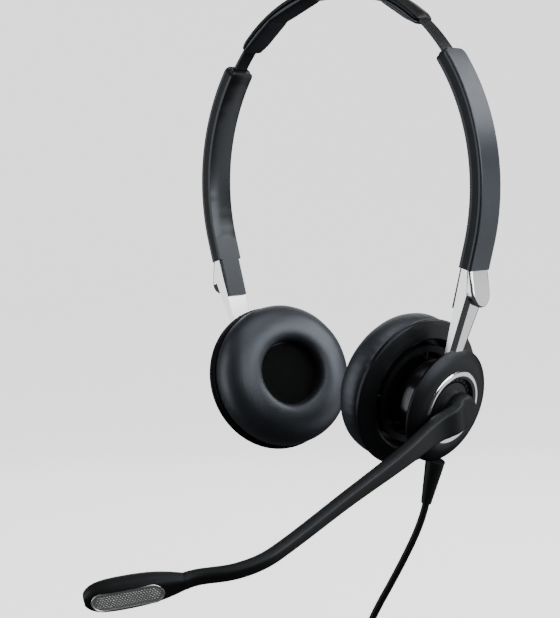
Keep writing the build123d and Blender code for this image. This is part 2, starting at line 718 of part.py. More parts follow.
def baffle_plate():
    """Plate in front of the speaker, pierced with rings of holes."""
    plate = disc(SKIRT_RADIUS, -BAFFLE_DEPTH - BAFFLE_THICK, -BAFFLE_DEPTH)
    for ring_radius, count in BAFFLE_RINGS:
        for index in range(count):
            drill = Rot(0, 90, 0) * Cylinder(BAFFLE_HOLE, 4 * BAFFLE_THICK)
            hole = Pos(-BAFFLE_DEPTH, ring_radius, 0) * drill
            plate -= Rot(360 * index / count, 0, 0) * hole
    return plate


def speaker_cloth():
    """Thin disc of acoustic cloth that shows through the cushion's hole."""
    front = -BAFFLE_DEPTH - BAFFLE_THICK
    return disc(CUSHION_HOLE, front - CLOTH_THICK, front)


def speaker_driver():
    """Basket and cone of the speaker, open towards the baffle."""
    return turned_points(
        (-BASKET_BACK, 0),
        (-BASKET_BACK, MAGNET_RADIUS),
        (-BAFFLE_DEPTH + 1, DRIVER_RADIUS),
        (-BAFFLE_DEPTH, DRIVER_RADIUS),
        (-BAFFLE_DEPTH, DRIVER_RADIUS - CONE_EDGE),
        (-BASKET_BACK - CONE_DEPTH, 0),
    )


def speaker_magnet():
    return disc(MAGNET_RADIUS, -BASKET_BACK, -MAGNET_BACK)


# ---- boom pieces, in the hub frame --------------------------------------------------
def boom_axle():
    """Pin fixed in the hub's web, on which the rotor turns."""
    return disc(AXLE_RADIUS, -HUB_DEPTH, PADDLE_LOW - 1)


def boom_rotor():
    """Round foot of the boom inside the trim ring."""
    floor = HUB_WEB - HUB_DEPTH + ROTOR_GAP
    bore = AXLE_RADIUS + AXLE_FIT
    return turned_points(
        (floor, bore),
        (floor, ROTOR_RADIUS),
        (floor + 1.9, ROTOR_RADIUS),
        (floor + 2.6, ROTOR_BOSS + 1),
        (PADDLE_LOW, ROTOR_BOSS),
        (PADDLE_LOW, 0),
        (PADDLE_LOW - 0.7, 0),
        (PADDLE_LOW - 0.7, bore),
    )


BOOM_MIDDLE = PADDLE_LOW + PADDLE_THICK / 2
BOOM_SLOPE = BOOM_DROP / BOOM_REACH


def boom_points():
    """Places along the boom's centre line, with the direction at each, in the hub frame."""
    flat = sqrt(1 + BOOM_SLOPE**2)
    forward = Vector(0, -1 / flat, -BOOM_SLOPE / flat)
    elbow = Vector(BOOM_MIDDLE, -BOOM_REACH, -BOOM_DROP)
    return elbow, forward


def boom_last():
    """Direction of the last stretch, in the hub frame."""
    turn = radians(BOOM_INWARD)
    world = Vector(-sin(turn), -cos(turn), -BOOM_SINK).normalized()
    tilt = radians(HUB_TILT)
    along = world.X * cos(tilt) - world.Z * sin(tilt)
    up = world.X * sin(tilt) + world.Z * cos(tilt)
    return Vector(along, world.Y, up)


def boom_section(place, heading, width, thick):
    """Rounded outline across the boom, its width in the hub's plane."""
    across = heading.cross(Vector(1, 0, 0)).normalized()
    frame = Plane(origin=place, x_dir=across, z_dir=heading)
    return frame * RectangleRounded(width, thick, min(width, thick) * 0.36)


def boom_arm():
    """Tapered arm: a round paddle on the rotor, a straight run and a bend to the mouth."""
    elbow, forward = boom_points()
    last = boom_last()
    paddle = disc(PADDLE_RADIUS, PADDLE_LOW, PADDLE_LOW + PADDLE_THICK)
    rim = paddle.edges().filter_by(GeomType.CIRCLE).sort_by(Axis.X)[-1]
    paddle = fillet(rim, radius=1.6)
    sections = []
    start = elbow - forward * (elbow - Vector(BOOM_MIDDLE, 0, 0)).length
    run = (elbow - start).length
    stations = [
        (0.0, (12.6, PADDLE_THICK)),
        (0.10, (10.6, PADDLE_THICK - 0.1)),
        (0.22, BOOM_START_SIZE),
        (0.6, BOOM_MID_SIZE),
        (0.9, BOOM_END_SIZE),
    ]
    for share, (width, thick) in stations:
        sections.append(boom_section(start + forward * (run * share), forward, width, thick))
    bend = run * 0.1
    straight = BOOM_LAST - MIC_LENGTH
    steps = 3
    for step in range(1, steps + 1):
        blend = step / (steps + 1)
        heading = (forward * (1 - blend) + last * blend).normalized()
        near = elbow - forward * bend
        far = elbow + last * bend
        place = near * (1 - blend) ** 2 + elbow * (2 * blend * (1 - blend)) + far * blend**2
        sections.append(boom_section(place, heading, *BOOM_END_SIZE))
    for distance, size in ((bend, BOOM_END_SIZE), (straight, MIC_NECK)):
        sections.append(boom_section(elbow + last * distance, last, *size))
    return paddle + loft(sections)


def mic_place():
    """Frame at the middle of the microphone: X to its tip, Z out of its grille."""
    elbow, _ = boom_points()
    last = boom_last()
    middle = elbow + last * (BOOM_LAST - MIC_LENGTH / 2)
    sideways = Vector(cos(radians(HUB_TILT)), 0, sin(radians(HUB_TILT)))
    level = Vector(-sin(radians(HUB_TILT)), 0, cos(radians(HUB_TILT)))
    outward = level.cross(last)
    if outward.dot(sideways) < 0:
        outward = outward * -1
    facing = outward - level * (outward.length * MIC_LOOK_DOWN)
    facing = (facing - last * facing.dot(last)).normalized()
    return Plane(origin=middle, x_dir=last, z_dir=facing)


def mic_blank(grow):
    """The microphone's rounded body, or a smaller copy of it for its hollow."""
    length = MIC_LENGTH + 2 * grow
    height = MIC_HEIGHT + 2 * grow
    thick = MIC_THICK + 2 * grow
    half = length / 2
    stations = [
        (-half, MIC_NECK[0] + 2 * grow, MIC_NECK[1] + 2 * grow),
        (-half + 8, height * 0.86, thick * 0.86),
        (0, height, thick),
        (half - 6, height * 0.96, thick * 0.92),
        (half - 1.6, height * 0.7, thick * 0.66),
        (half, height * 0.42, thick * 0.4),
    ]
    sections = []
    for along, tall, deep in stations:
        plane = Plane(origin=(along, 0, 0), x_dir=(0, 1, 0), z_dir=(1, 0, 0))
        sections.append(plane * RectangleRounded(tall, deep, min(tall, deep) * 0.42))
    return loft(sections)


def grille_plug(length, height, low, high):
    """An upright slug with a long oval outline, between two depths."""
    slug = extrude(SlotOverall(length, height), amount=high - low)
    return Pos(GRILLE_FORWARD, 0, low) * slug


def mic_body():
    """Microphone housing, hollow, with an oval window on each side."""
    window = MIC_THICK / 2
    shell = mic_blank(0) - grille_plug(GRILLE_LENGTH, GRILLE_HEIGHT, window - 1.4, window + 2)
    shell -= grille_plug(GRILLE_LENGTH / 2, GRILLE_HEIGHT - 2, -window - 2, 1.4 - window)
    chamber = Pos(GRILLE_FORWARD, 0, 0) * Box(
        GRILLE_LENGTH - 8, GRILLE_HEIGHT - 2.4, MIC_THICK - 1.6
    )
    return shell - chamber


def mic_grille():
    """Oval mesh over the window that faces out."""
    high = MIC_THICK / 2 - 0.9
    return grille_plug(GRILLE_LENGTH, GRILLE_HEIGHT, high - GRILLE_THICK, high)


def mic_inner_grille():
    """Small oval mesh over the window that faces the mouth."""
    low = 0.9 - MIC_THICK / 2
    return grille_plug(GRILLE_LENGTH / 2, GRILLE_HEIGHT - 2, low, low + GRILLE_THICK)


def mic_capsule():
    """Electret capsule between the two windows."""
    return Pos(GRILLE_FORWARD, 0, 0) * Cylinder(CAPSULE_RADIUS, CAPSULE_THICK)


# ---- cord pieces --------------------------------------------------------------------
def below_hub(reach):
    """A point on the strain relief's axis, at a distance below the hub's centre."""
    return tuple((HUB * Pos(-RELIEF_OFFSET, 0, -reach)).position)


# Below its first two points, the cord's route is chosen by hand.
CORD_LEAD = 8.0
CORD_POINTS = [
    below_hub(RELIEF_START + RELIEF_LENGTH),
    below_hub(RELIEF_START + RELIEF_LENGTH + CORD_LEAD),
    (28.0, -2.6, -213.6),
    (16.8, -5.8, -233.6),
    (9.6, -8.0, -253.6),
    (8.0, -8.6, -273.6),
]
COIL_CENTRE = (8.0 - COIL_RADIUS, -8.6, -273.6)
TAIL_POINTS = [
    (8.0, -8.6, -273.6),
    (9.0, -10.4, -287.6),
    (10.6, -12.8, -301.6),
    (10.6, -12.8, -315.6),
]
PLUG_TOP = TAIL_POINTS[-1]


def bend_radii(points):
    """The largest arc that each corner's two runs allow, by the route's own rule."""
    corners = [Vector(*point) for point in points]
    radii = []
    for before, here, after in zip(corners, corners[1:], corners[2:]):
        arriving = here - before
        leaving = after - here
        half_turn = radians(arriving.get_angle(leaving)) / 2
        radii.append(0.45 * min(arriving.length, leaving.length) / tan(half_turn))
    return radii


def cord_tube(points, name):
    """A round cord along straight runs joined by tangent arcs."""
    radii = bend_radii(points)
    path = FilletPolyline(*points, radius=radii)
    start = Vector(*points[0])
    section = Plane(origin=start, z_dir=Vector(*points[1]) - start) * Circle(CORD_RADIUS)
    solid = sweep(section, path=path)
    ideal = pi * CORD_RADIUS**2 * path.length
    print(name, "length", round(path.length, 1), "radii", [round(radius, 1) for radius in radii])
    print(name, "volume over section times length", round(solid.volume / ideal, 4))
    return solid


def strain_relief():
    """Tapered boot with grooves, hanging from the hub."""
    end = RELIEF_START + RELIEF_LENGTH
    boot = loft(
        [
            Pos(0, 0, -RELIEF_START) * Circle(RELIEF_TOP_RADIUS),
            Pos(0, 0, -end) * Circle(RELIEF_END_RADIUS),
        ]
    )
    pitch = (RELIEF_LENGTH - 6) / RELIEF_GROOVES
    for index in range(RELIEF_GROOVES):
        height = -RELIEF_START - 5 - index * pitch
        boot -= box((-6, 6), (RELIEF_END_RADIUS * 0.7, 6), (height - 0.8, height))
    return Pos(-RELIEF_OFFSET, 0, 0) * boot


def ring_about_y(centre, radius, bundle):
    """A plain ring in an upright plane."""
    return Pos(*centre) * Rot(90, 0, 0) * Torus(radius, bundle)


def cord_coil():
    """Outer shape of the wound spare cord."""
    return ring_about_y(COIL_CENTRE, COIL_RADIUS, COIL_BUNDLE)


def coil_tie():
    """Strap round the coil, where the cord runs in and out."""
    sleeve = ring_about_y(COIL_CENTRE, COIL_RADIUS, COIL_BUNDLE + TIE_THICK)
    sleeve -= cord_coil()
    reach = COIL_RADIUS + 3 * COIL_BUNDLE
    half = radians(TIE_WIDTH / 2)
    corners = [(0, 0), (reach, -reach * tan(half)), (reach, reach * tan(half))]
    wedge = extrude(Plane.XZ * make_face(Polyline(*corners, close=True)), amount=20, both=True)
    return sleeve & (Pos(*COIL_CENTRE) * wedge)


def plug_body():
    """Grip of the plug, with its tapered boot at the cord end."""
    x, y, top = PLUG_TOP
    boot = Pos(0, 0, -PLUG_BOOT / 2) * Cone(PLUG_RADIUS * 0.72, CORD_RADIUS + 0.5, PLUG_BOOT)
    grip = Pos(0, 0, -PLUG_BOOT - PLUG_LENGTH / 2) * Cylinder(PLUG_RADIUS, PLUG_LENGTH)
    grip = fillet(grip.edges().filter_by(GeomType.CIRCLE), radius=0.8)
    return Pos(x, y, top) * (boot + grip)


def jack():
    """Round four-pole jack with a collar, a waist behind its tip and three grooves."""
    x, y, top = PLUG_TOP
    start = PLUG_BOOT + PLUG_LENGTH
    collar = Pos(0, 0, -start - 0.4) * Cylinder(JACK_COLLAR, 0.8)
    outline = [
        (0, 0),
        (JACK_RADIUS, 0),
        (JACK_RADIUS, -JACK_LENGTH + 2.6),
        (JACK_RADIUS - 0.5, -JACK_LENGTH + 2.0),
        (JACK_RADIUS - 0.1, -JACK_LENGTH + 1.2),
        (JACK_RADIUS - 1.1, -JACK_LENGTH),
        (0, -JACK_LENGTH),
    ]
    face = Plane.XZ * make_face(Polyline(*outline, close=True))
    pole = Pos(0, 0, -start - 0.8) * revolve(face, axis=Axis.Z)
    return Pos(x, y, top) * (collar + pole)


# ---- assembly -----------------------------------------------------------------------
def headband_nodes():
    shoe = band_shoe()
    return {
        "steel_band": steel_band(),
        "headpad_shell": headpad_shell(),
        "headpad_cushion": headpad_cushion(),
        "headpad_rivets": pad_rivets(),
        "band_end_shoes": shoe + mirrored(shoe),
    }


def side_nodes(turn):
    """The pieces that both sides have, built on the wearer's left."""
    cup = cup_place(turn)
    return {
        "arm_frame": arm_frame(),
        "arm_cover": arm_cover(),
        "arm_inner_cover": inner_cover(),
        "band_bush": mouth_bush(),
        "detent_spring": detent_spring(),
        "fork": HUB * fork(),
        "hub_housing": HUB * hub_housing(),
        "hub_neck": HUB * hub_neck(),
        "trim_ring": HUB * trim_ring(),
        "swivel_pins": HUB * swivel_pins(),
        "gimbal_ring": cup * gimbal_ring(),
        "tilt_pins": cup * tilt_pins(),
        "cup_back": cup * cup_back(),
        "cup_partition": cup * cup_partition(),
        "cushion_flange": cup * cushion_flange(),
        "ear_cushion": cup * ear_cushion(),
        "baffle_plate": cup * baffle_plate(),
        "speaker_cloth": cup * speaker_cloth(),
        "speaker_driver": cup * speaker_driver(),
        "speaker_magnet": cup * speaker_magnet(),
    }


def boom_nodes():
    mic = mic_place()
    return {
        "boom_axle": HUB * boom_axle(),
        "boom_detent_ring": HUB * detent_ring(),
        "boom_rotor": HUB * boom_rotor(),
        "boom_arm": HUB * boom_arm(),
        "mic_body": HUB * (mic * mic_body()),
        "mic_grille": HUB * (mic * mic_grille()),
        "mic_inner_grille": HUB * (mic * mic_inner_grille()),
        "mic_capsule": HUB * (mic * mic_capsule()),
    }


def cord_nodes():
    housing = HUB * turned_points((-8, 0), (-8, HUB_RADIUS), (2, HUB_RADIUS), (2, 0))
    return {
        "cord_strain_relief": HUB * strain_relief() - housing,
        "headset_cord": cord_tube(CORD_POINTS, "headset_cord"),
        "cord_coil": cord_coil(),
        "coil_tie": coil_tie(),
        "plug_cord": cord_tube(TAIL_POINTS, "plug_cord"),
        "plug_body": plug_body(),
        "plug_jack": jack(),
    }


def all_nodes():
    nodes = headband_nodes()
    for name, solid in side_nodes(LEFT_CUP_TURN).items():
        nodes["left_" + name] = solid
    for name, solid in side_nodes(RIGHT_CUP_TURN).items():
        nodes["right_" + name] = mirrored(solid)
    nodes["right_hub_cap"] = mirrored(HUB * hub_cap())
    nodes.update(boom_nodes())
    nodes.update(cord_nodes())
    return nodes


def main():
    os.makedirs("parts", exist_ok=True)
    for name, solid in all_nodes().items():
        export_step(solid, f"parts/{name}.step")


main()
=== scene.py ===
import json
from math import cos, pi, radians, sin

import bmesh
import bpy
from mathutils import Matrix, Vector, noise

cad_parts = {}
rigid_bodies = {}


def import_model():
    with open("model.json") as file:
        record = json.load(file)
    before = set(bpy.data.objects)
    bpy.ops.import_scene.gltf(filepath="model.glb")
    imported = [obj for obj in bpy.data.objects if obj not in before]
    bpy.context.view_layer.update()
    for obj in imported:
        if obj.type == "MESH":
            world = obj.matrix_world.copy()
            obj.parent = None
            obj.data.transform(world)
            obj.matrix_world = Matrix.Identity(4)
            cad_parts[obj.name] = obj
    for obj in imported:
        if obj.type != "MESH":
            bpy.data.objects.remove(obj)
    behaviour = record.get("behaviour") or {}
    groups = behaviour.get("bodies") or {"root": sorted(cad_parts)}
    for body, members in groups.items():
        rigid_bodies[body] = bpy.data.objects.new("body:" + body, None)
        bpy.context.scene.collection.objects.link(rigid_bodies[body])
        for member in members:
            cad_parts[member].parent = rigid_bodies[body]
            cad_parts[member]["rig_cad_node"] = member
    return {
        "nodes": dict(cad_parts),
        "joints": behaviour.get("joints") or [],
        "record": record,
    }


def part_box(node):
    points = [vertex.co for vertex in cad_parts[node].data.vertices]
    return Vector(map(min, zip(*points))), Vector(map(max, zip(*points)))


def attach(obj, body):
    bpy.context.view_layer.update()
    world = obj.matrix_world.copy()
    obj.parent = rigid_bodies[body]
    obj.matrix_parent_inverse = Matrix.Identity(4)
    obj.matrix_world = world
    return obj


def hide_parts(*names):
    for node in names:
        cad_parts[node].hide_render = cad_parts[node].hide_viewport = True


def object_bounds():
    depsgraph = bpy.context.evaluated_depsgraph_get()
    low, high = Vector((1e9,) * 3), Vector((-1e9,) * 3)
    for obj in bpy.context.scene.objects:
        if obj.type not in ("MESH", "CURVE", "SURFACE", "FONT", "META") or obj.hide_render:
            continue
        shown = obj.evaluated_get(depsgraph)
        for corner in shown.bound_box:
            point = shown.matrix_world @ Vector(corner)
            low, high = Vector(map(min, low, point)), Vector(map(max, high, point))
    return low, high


bl_info = {
    "name": "Office Headset Looks",
    "version": (1, 0, 0),
    "blender": (4, 5, 0),
    "location": "3D View > Sidebar > Headset",
    "description": "Skins, cushions, cord and finishes for an office headset",
    "category": "Object",
}

MM = 0.001
COOL_SHINE = (0.80, 0.88, 1.0, 1.0)
WEAR_STARTS = 0.52  # pointiness of an edge where wear starts to show, and where it is full
WEAR_FULL = 0.62
POLISHING_LINES = (60.0, 60.0, 4000.0)  # stretch of the noise that draws them
POLISHING_DEPTH = 0.004 * MM
THREAD_HEIGHT = 0.06 * MM
WAVE_PERIOD = 0.314  # metres between the bands of a wave texture at scale one
PEBBLE_HEIGHT, CREASE_HEIGHT = 0.04 * MM, 0.08 * MM
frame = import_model()
CAD_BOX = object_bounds()
NODES = frame["nodes"]
JOINTS = {joint["name"]: joint for joint in frame["joints"]}
SIDES = ("left", "right")


# ---- places that come from the frame ------------------------------------------------
def basis(origin, out, depth, up):
    """A matrix whose columns are the three directions and the origin."""
    turn = Matrix((out, depth, up)).transposed().to_4x4()
    return Matrix.Translation(origin) @ turn


def mirrored_x(vector):
    return Vector((-vector.x, vector.y, vector.z))


def hub_place(side):
    """Hub frame: X out of the ear, Y to the wearer's back, Z up the fork."""
    origin = Vector(JOINTS["boom_rotate"]["pos_m"])
    out = Vector(JOINTS["boom_rotate"]["axis"])
    up = Vector(JOINTS["left_cup_swivel"]["axis"])
    back = Vector((0.0, 1.0, 0.0))
    if side == "right":
        origin, out, up = mirrored_x(origin), mirrored_x(out), mirrored_x(up)
    return basis(origin, out, back, up)


def cup_place(side):
    """Cup frame at the gimbal centre, turned with the cup as it rests."""
    origin = Vector(JOINTS[side + "_cup_swivel"]["pos_m"])
    hub = hub_place(side)
    up = hub.col[2].to_3d()
    across = Vector(JOINTS[side + "_cup_tilt"]["axis"])
    out = across.cross(up)
    if out.dot(hub.col[0].to_3d()) < 0:
        out.negate()
    return basis(origin, out, across, up)


def local_box(node, place):
    """Lowest and highest corner of a CAD node, seen in a frame of its own."""
    inverse = place.inverted()
    points = [inverse @ vertex.co for vertex in NODES[node].data.vertices]
    low = Vector(min(point[axis] for point in points) for axis in range(3))
    high = Vector(max(point[axis] for point in points) for axis in range(3))
    return low, high


# ---- settings -----------------------------------------------------------------------
def colour_setting(name, description, default):
    return bpy.props.FloatVectorProperty(
        name=name,
        description=description,
        default=default,
        subtype="COLOR",
        size=3,
        min=0.0,
        max=1.0,
    )


def length_setting(name, description, default):
    return bpy.props.FloatProperty(
        name=name, description=description, default=default, unit="LENGTH", min=0.0
    )


class HeadsetColours(bpy.types.PropertyGroup):
    """Base colours of the headset's finishes."""

    leatherette: colour_setting("Leatherette", "Ear cushions and head pad", (0.0070, 0.0080, 0.0108))
    arm_gloss: colour_setting("Arm face", "Outer face of the sliding arms", (0.012, 0.0147, 0.0198))
    arm_core: colour_setting("Arm edge", "Middle layer of the sliding arms", (0.0105, 0.0098, 0.0092))
    black_plastic: colour_setting("Black plastic", "Hubs, cups and boom", (0.0042, 0.0042, 0.0044))
    boom_olive: colour_setting("Boom", "Turning boom and microphone", (0.0062, 0.0064, 0.0056))
    chrome: colour_setting("Chrome", "Forks and trim rings", (0.86, 0.87, 0.89))
    rubber: colour_setting("Rubber", "Cord, boots and plug", (0.0050, 0.0050, 0.0052))
    floor: colour_setting("Floor", "Studio floor and backdrop", (0.80, 0.80, 0.80))


class HeadsetSizes(bpy.types.PropertyGroup):
    """Sizes of the detail that the looks add to the frame."""

    seam: length_setting("Seam", "Radius of the piping round an ear cushion", 0.45 * MM)
    stitch: length_setting("Stitch", "Length of the stitch in a cushion's mouth", 3.4 * MM)
    pucker: length_setting("Pucker", "Depth of the creases in the leatherette", 0.10 * MM)
    grille_pitch: length_setting("Grille pitch", "Distance between the grille's holes", 0.95 * MM)
    cord: length_setting("Cord", "Diameter of the cord", 2.7 * MM)
    cord_length: length_setting("Cord length", "Real length of the cord", 1.0)


def colours():
    return bpy.context.scene.headset_colours


def sizes():
    return bpy.context.scene.headset_sizes


# ---- node helpers -------------------------------------------------------------------
def new_material(name):
    """An empty node material with its surface shader, ready to wire."""
    material = bpy.data.materials.new(name)
    material.use_nodes = True
    tree = material.node_tree
    tree.nodes.clear()
    output = tree.nodes.new("ShaderNodeOutputMaterial")
    shader = tree.nodes.new("ShaderNodeBsdfPrincipled")
    tree.links.new(shader.outputs[0], output.inputs[0])
    return material, tree, shader


def texture_place(tree, scale=(1.0, 1.0, 1.0)):
    """Object coordinates, in metres, stretched by a scale."""
    source = tree.nodes.new("ShaderNodeTexCoord")
    mapping = tree.nodes.new("ShaderNodeMapping")
    mapping.inputs["Scale"].default_value = scale
    tree.links.new(source.outputs["Object"], mapping.inputs["Vector"])
    return mapping.outputs["Vector"]


def noise_at(tree, place, scale, detail=3.0, roughness=0.55):
    node = tree.nodes.new("ShaderNodeTexNoise")
    node.inputs["Scale"].default_value = scale
    node.inputs["Detail"].default_value = detail
    node.inputs["Roughness"].default_value = roughness
    tree.links.new(place, node.inputs["Vector"])
    return node.outputs["Fac"]


def cells_at(tree, place, scale):
    node = tree.nodes.new("ShaderNodeTexVoronoi")
    node.inputs["Scale"].default_value = scale
    tree.links.new(place, node.inputs["Vector"])
    return node.outputs["Distance"]


def ramp(tree, value, stops):
    """A colour ramp over (position, colour) stops."""
    node = tree.nodes.new("ShaderNodeValToRGB")
    elements = node.color_ramp.elements
    while len(elements) < len(stops):
        elements.new(0.5)
    for element, (position, colour) in zip(elements, stops):
        element.position = position
        element.color = (*colour, 1.0)
    tree.links.new(value, node.inputs["Fac"])
    return node.outputs["Color"]


def spread(tree, value, low, high):
    """The value, mapped from 0..1 to a range of its own."""
    node = tree.nodes.new("ShaderNodeMapRange")
    node.inputs["To Min"].default_value = low
    node.inputs["To Max"].default_value = high
    tree.links.new(value, node.inputs["Value"])
    return node.outputs["Result"]


def add_bump(tree, shader, value, height, strength, below=None):
    node = tree.nodes.new("ShaderNodeBump")
    node.inputs["Strength"].default_value = strength
    node.inputs["Distance"].default_value = height
    tree.links.new(value, node.inputs["Height"])
    if below is not None:
        tree.links.new(below, node.inputs["Normal"])
    tree.links.new(node.outputs["Normal"], shader.inputs["Normal"])
    return node.outputs["Normal"]


def edge_wear(tree, colour_out, worn):
    """Mixes a worn colour in along convex edges."""
    geometry = tree.nodes.new("ShaderNodeNewGeometry")
    mask = tree.nodes.new("ShaderNodeMapRange")
    mask.inputs["From Min"].default_value = WEAR_STARTS
    mask.inputs["From Max"].default_value = WEAR_FULL
    tree.links.new(geometry.outputs["Pointiness"], mask.inputs["Value"])
    mix = tree.nodes.new("ShaderNodeMix")
    mix.data_type = "RGBA"
    tree.links.new(mask.outputs["Result"], mix.inputs["Factor"])
    tree.links.new(colour_out, mix.inputs["A"])
    mix.inputs["B"].default_value = (*worn, 1.0)
    return mix.outputs["Result"]


def shade(colour, factor):
    return tuple(min(1.0, channel * factor) for channel in colour)


# ---- finishes -----------------------------------------------------------------------
def leatherette(name, colour):
    """Soft coated cloth with a fine pebbled grain and a dull sheen."""
    material, tree, shader = new_material(name)
    place = texture_place(tree)
    tone = noise_at(tree, place, 90.0, 4.0)
    base = ramp(tree, tone, [(0.3, shade(colour, 0.8)), (0.7, shade(colour, 1.3))])
    tree.links.new(base, shader.inputs["Base Color"])
    gloss = spread(tree, noise_at(tree, place, 260.0), 0.40, 0.52)
    tree.links.new(gloss, shader.inputs["Roughness"])
    shader.inputs["Sheen Weight"].default_value = 0.03
    shader.inputs["Sheen Roughness"].default_value = 0.45
    shader.inputs["Sheen Tint"].default_value = (0.55, 0.62, 0.75, 1.0)
    shader.inputs["Specular IOR Level"].default_value = 1.0
    shader.inputs["Specular Tint"].default_value = COOL_SHINE
    lines = noise_at(tree, place, 320.0, 5.0, 0.6)
    creases = add_bump(tree, shader, lines, CREASE_HEIGHT, 0.5)
    add_bump(tree, shader, cells_at(tree, place, 1900.0), PEBBLE_HEIGHT, 0.55, creases)
    return material


def moulded(name, colour, roughness, grain, height, coat=0.0, wear=1.6, shine=0.28):
    """Moulded plastic with a fine grain that stands up by a height, and lighter worn edges."""
    material, tree, shader = new_material(name)
    place = texture_place(tree)
    tone = noise_at(tree, place, 60.0, 3.0)
    base = ramp(tree, tone, [(0.3, shade(colour, 0.9)), (0.7, shade(colour, 1.12))])
    base = edge_wear(tree, base, shade(colour, wear))
    tree.links.new(base, shader.inputs["Base Color"])
    gloss = spread(tree, noise_at(tree, place, 180.0), roughness - 0.04, roughness + 0.05)
    tree.links.new(gloss, shader.inputs["Roughness"])
    shader.inputs["Specular IOR Level"].default_value = shine
    shader.inputs["Specular Tint"].default_value = COOL_SHINE
    shader.inputs["Coat Weight"].default_value = coat
    shader.inputs["Coat Roughness"].default_value = 0.12
    add_bump(tree, shader, noise_at(tree, place, grain, 2.0, 0.7), height, 0.6)
    return material


def polished(name, colour, roughness):
    """Bright plated metal with faint polishing lines."""
    material, tree, shader = new_material(name)
    place = texture_place(tree, POLISHING_LINES)
    shader.inputs["Metallic"].default_value = 1.0
    lines = noise_at(tree, place, 1.0, 2.0)
    base = ramp(tree, lines, [(0.3, shade(colour, 0.94)), (0.7, colour)])
    tree.links.new(base, shader.inputs["Base Color"])
    gloss = spread(tree, lines, roughness - 0.03, roughness + 0.04)
    tree.links.new(gloss, shader.inputs["Roughness"])
    add_bump(tree, shader, lines, POLISHING_DEPTH, 0.4)
    return material


def woven(name, colour, pitch):
    """Plain weave of fine threads."""
    material, tree, shader = new_material(name)
    place = texture_place(tree)
    threads = []
    for axis in ("Y", "Z"):
        wave = tree.nodes.new("ShaderNodeTexWave")
        wave.bands_direction = axis
        wave.inputs["Scale"].default_value = WAVE_PERIOD / pitch
        wave.inputs["Distortion"].default_value = 0.4
        tree.links.new(place, wave.inputs["Vector"])
        threads.append(wave.outputs["Fac"])
    weave = tree.nodes.new("ShaderNodeMath")
    weave.operation = "MULTIPLY"
    tree.links.new(threads[0], weave.inputs[0])
    tree.links.new(threads[1], weave.inputs[1])
    base = ramp(tree, weave.outputs[0], [(0.0, shade(colour, 0.4)), (0.8, shade(colour, 1.6))])
    tree.links.new(base, shader.inputs["Base Color"])
    shader.inputs["Roughness"].default_value = 0.85
    shader.inputs["Specular IOR Level"].default_value = 0.15
    add_bump(tree, shader, weave.outputs[0], THREAD_HEIGHT, 0.8)
    return material


FINISHES = {}

# slot: name, colour or name of a colour setting, roughness, grain, grain height, coat, wear, shine
MOULDED = {
    "arm_gloss_plastic": ("arm_gloss", "arm_gloss", 0.36, 900.0, 0.006 * MM, 0.06, 1.5, 0.6),
    "arm_core_plastic": ("arm_core", "arm_core", 0.50, 2200.0, 0.02 * MM),
    "headpad_shell": ("pad_shell", "black_plastic", 0.42, 2400.0, 0.02 * MM),
    "hub_plastic": ("hub_black", "black_plastic", 0.42, 2600.0, 0.02 * MM, 0.0, 1.4),
    "cup_plastic": ("cup_black", "black_plastic", 0.36, 2600.0, 0.01 * MM, 0.1, 1.8),
    "neck_plastic": ("neck_gloss", "black_plastic", 0.20, 700.0, 0.004 * MM, 0.5, 1.2, 0.5),
    "boom_plastic": ("boom_black", "boom_olive", 0.46, 2600.0, 0.02 * MM, 0.0, 1.5),
    "cord_rubber": ("cord_jacket", "rubber", 0.48, 1500.0, 0.01 * MM),
    "plug_rubber": ("plug_rubber", "rubber", 0.55, 1800.0, 0.02 * MM),
    "band_steel": ("band_black_steel", "black_plastic", 0.34, 1200.0, 0.006 * MM, 0.2, 2.2),
    "driver_paper": ("driver_paper", (0.10, 0.09, 0.08), 0.70, 900.0, 0.04 * MM),
}
# slot: colour or name of a colour setting, roughness
POLISHED = {
    "fork_chrome": ("chrome", 0.16),
    "ring_chrome": ("chrome", 0.10),
    "pin_steel": ((0.05, 0.05, 0.052), 0.40),
    "spring_steel": ((0.55, 0.54, 0.52), 0.30),
    "magnet_steel": ((0.50, 0.50, 0.51), 0.34),
    "capsule_metal": ((0.62, 0.62, 0.61), 0.30),
    "jack_metal": ((0.83, 0.77, 0.62), 0.16),
    "mic_mesh": ((0.86, 0.87, 0.86), 0.34),
}
# slot: colour, distance between threads
WOVEN = {
    "speaker_cloth": ((0.0030, 0.0034, 0.0042), 0.5 * MM),
    "tie_strap": ((0.014, 0.014, 0.015), 0.6 * MM),
}
LINER = "arm_liner"  # finish of the arms' inner covers, glossier than their slot's
LINER_LIFT = 1.6


def chosen_colour(colour):
    """A colour as it is, or the setting of that name."""
    return tuple(getattr(colours(), colour)) if isinstance(colour, str) else colour


def make_finishes():
    """Every finish of the headset, by the record's slot names."""
    FINISHES["cushion_leatherette"] = leatherette("leatherette", chosen_colour("leatherette"))
    liner = shade(chosen_colour("black_plastic"), LINER_LIFT)
    FINISHES[LINER] = moulded(LINER, liner, 0.30, 900.0, 0.006 * MM, 0.0, 1.5, 0.5)
    for slot, (name, colour, *feel) in MOULDED.items():
        FINISHES[slot] = moulded(name, chosen_colour(colour), *feel)
    for slot, (colour, roughness) in POLISHED.items():
        FINISHES[slot] = polished(slot, chosen_colour(colour), roughness)
    for slot, (colour, pitch) in WOVEN.items():
        FINISHES[slot] = woven(slot, colour, pitch)


def dress(piece, slot):
    """Gives a piece the finish of a slot; a new piece takes the finish of the record's slot that it
    comes from.
    """
    piece.data.materials.clear()
    piece.data.materials.append(FINISHES[slot])


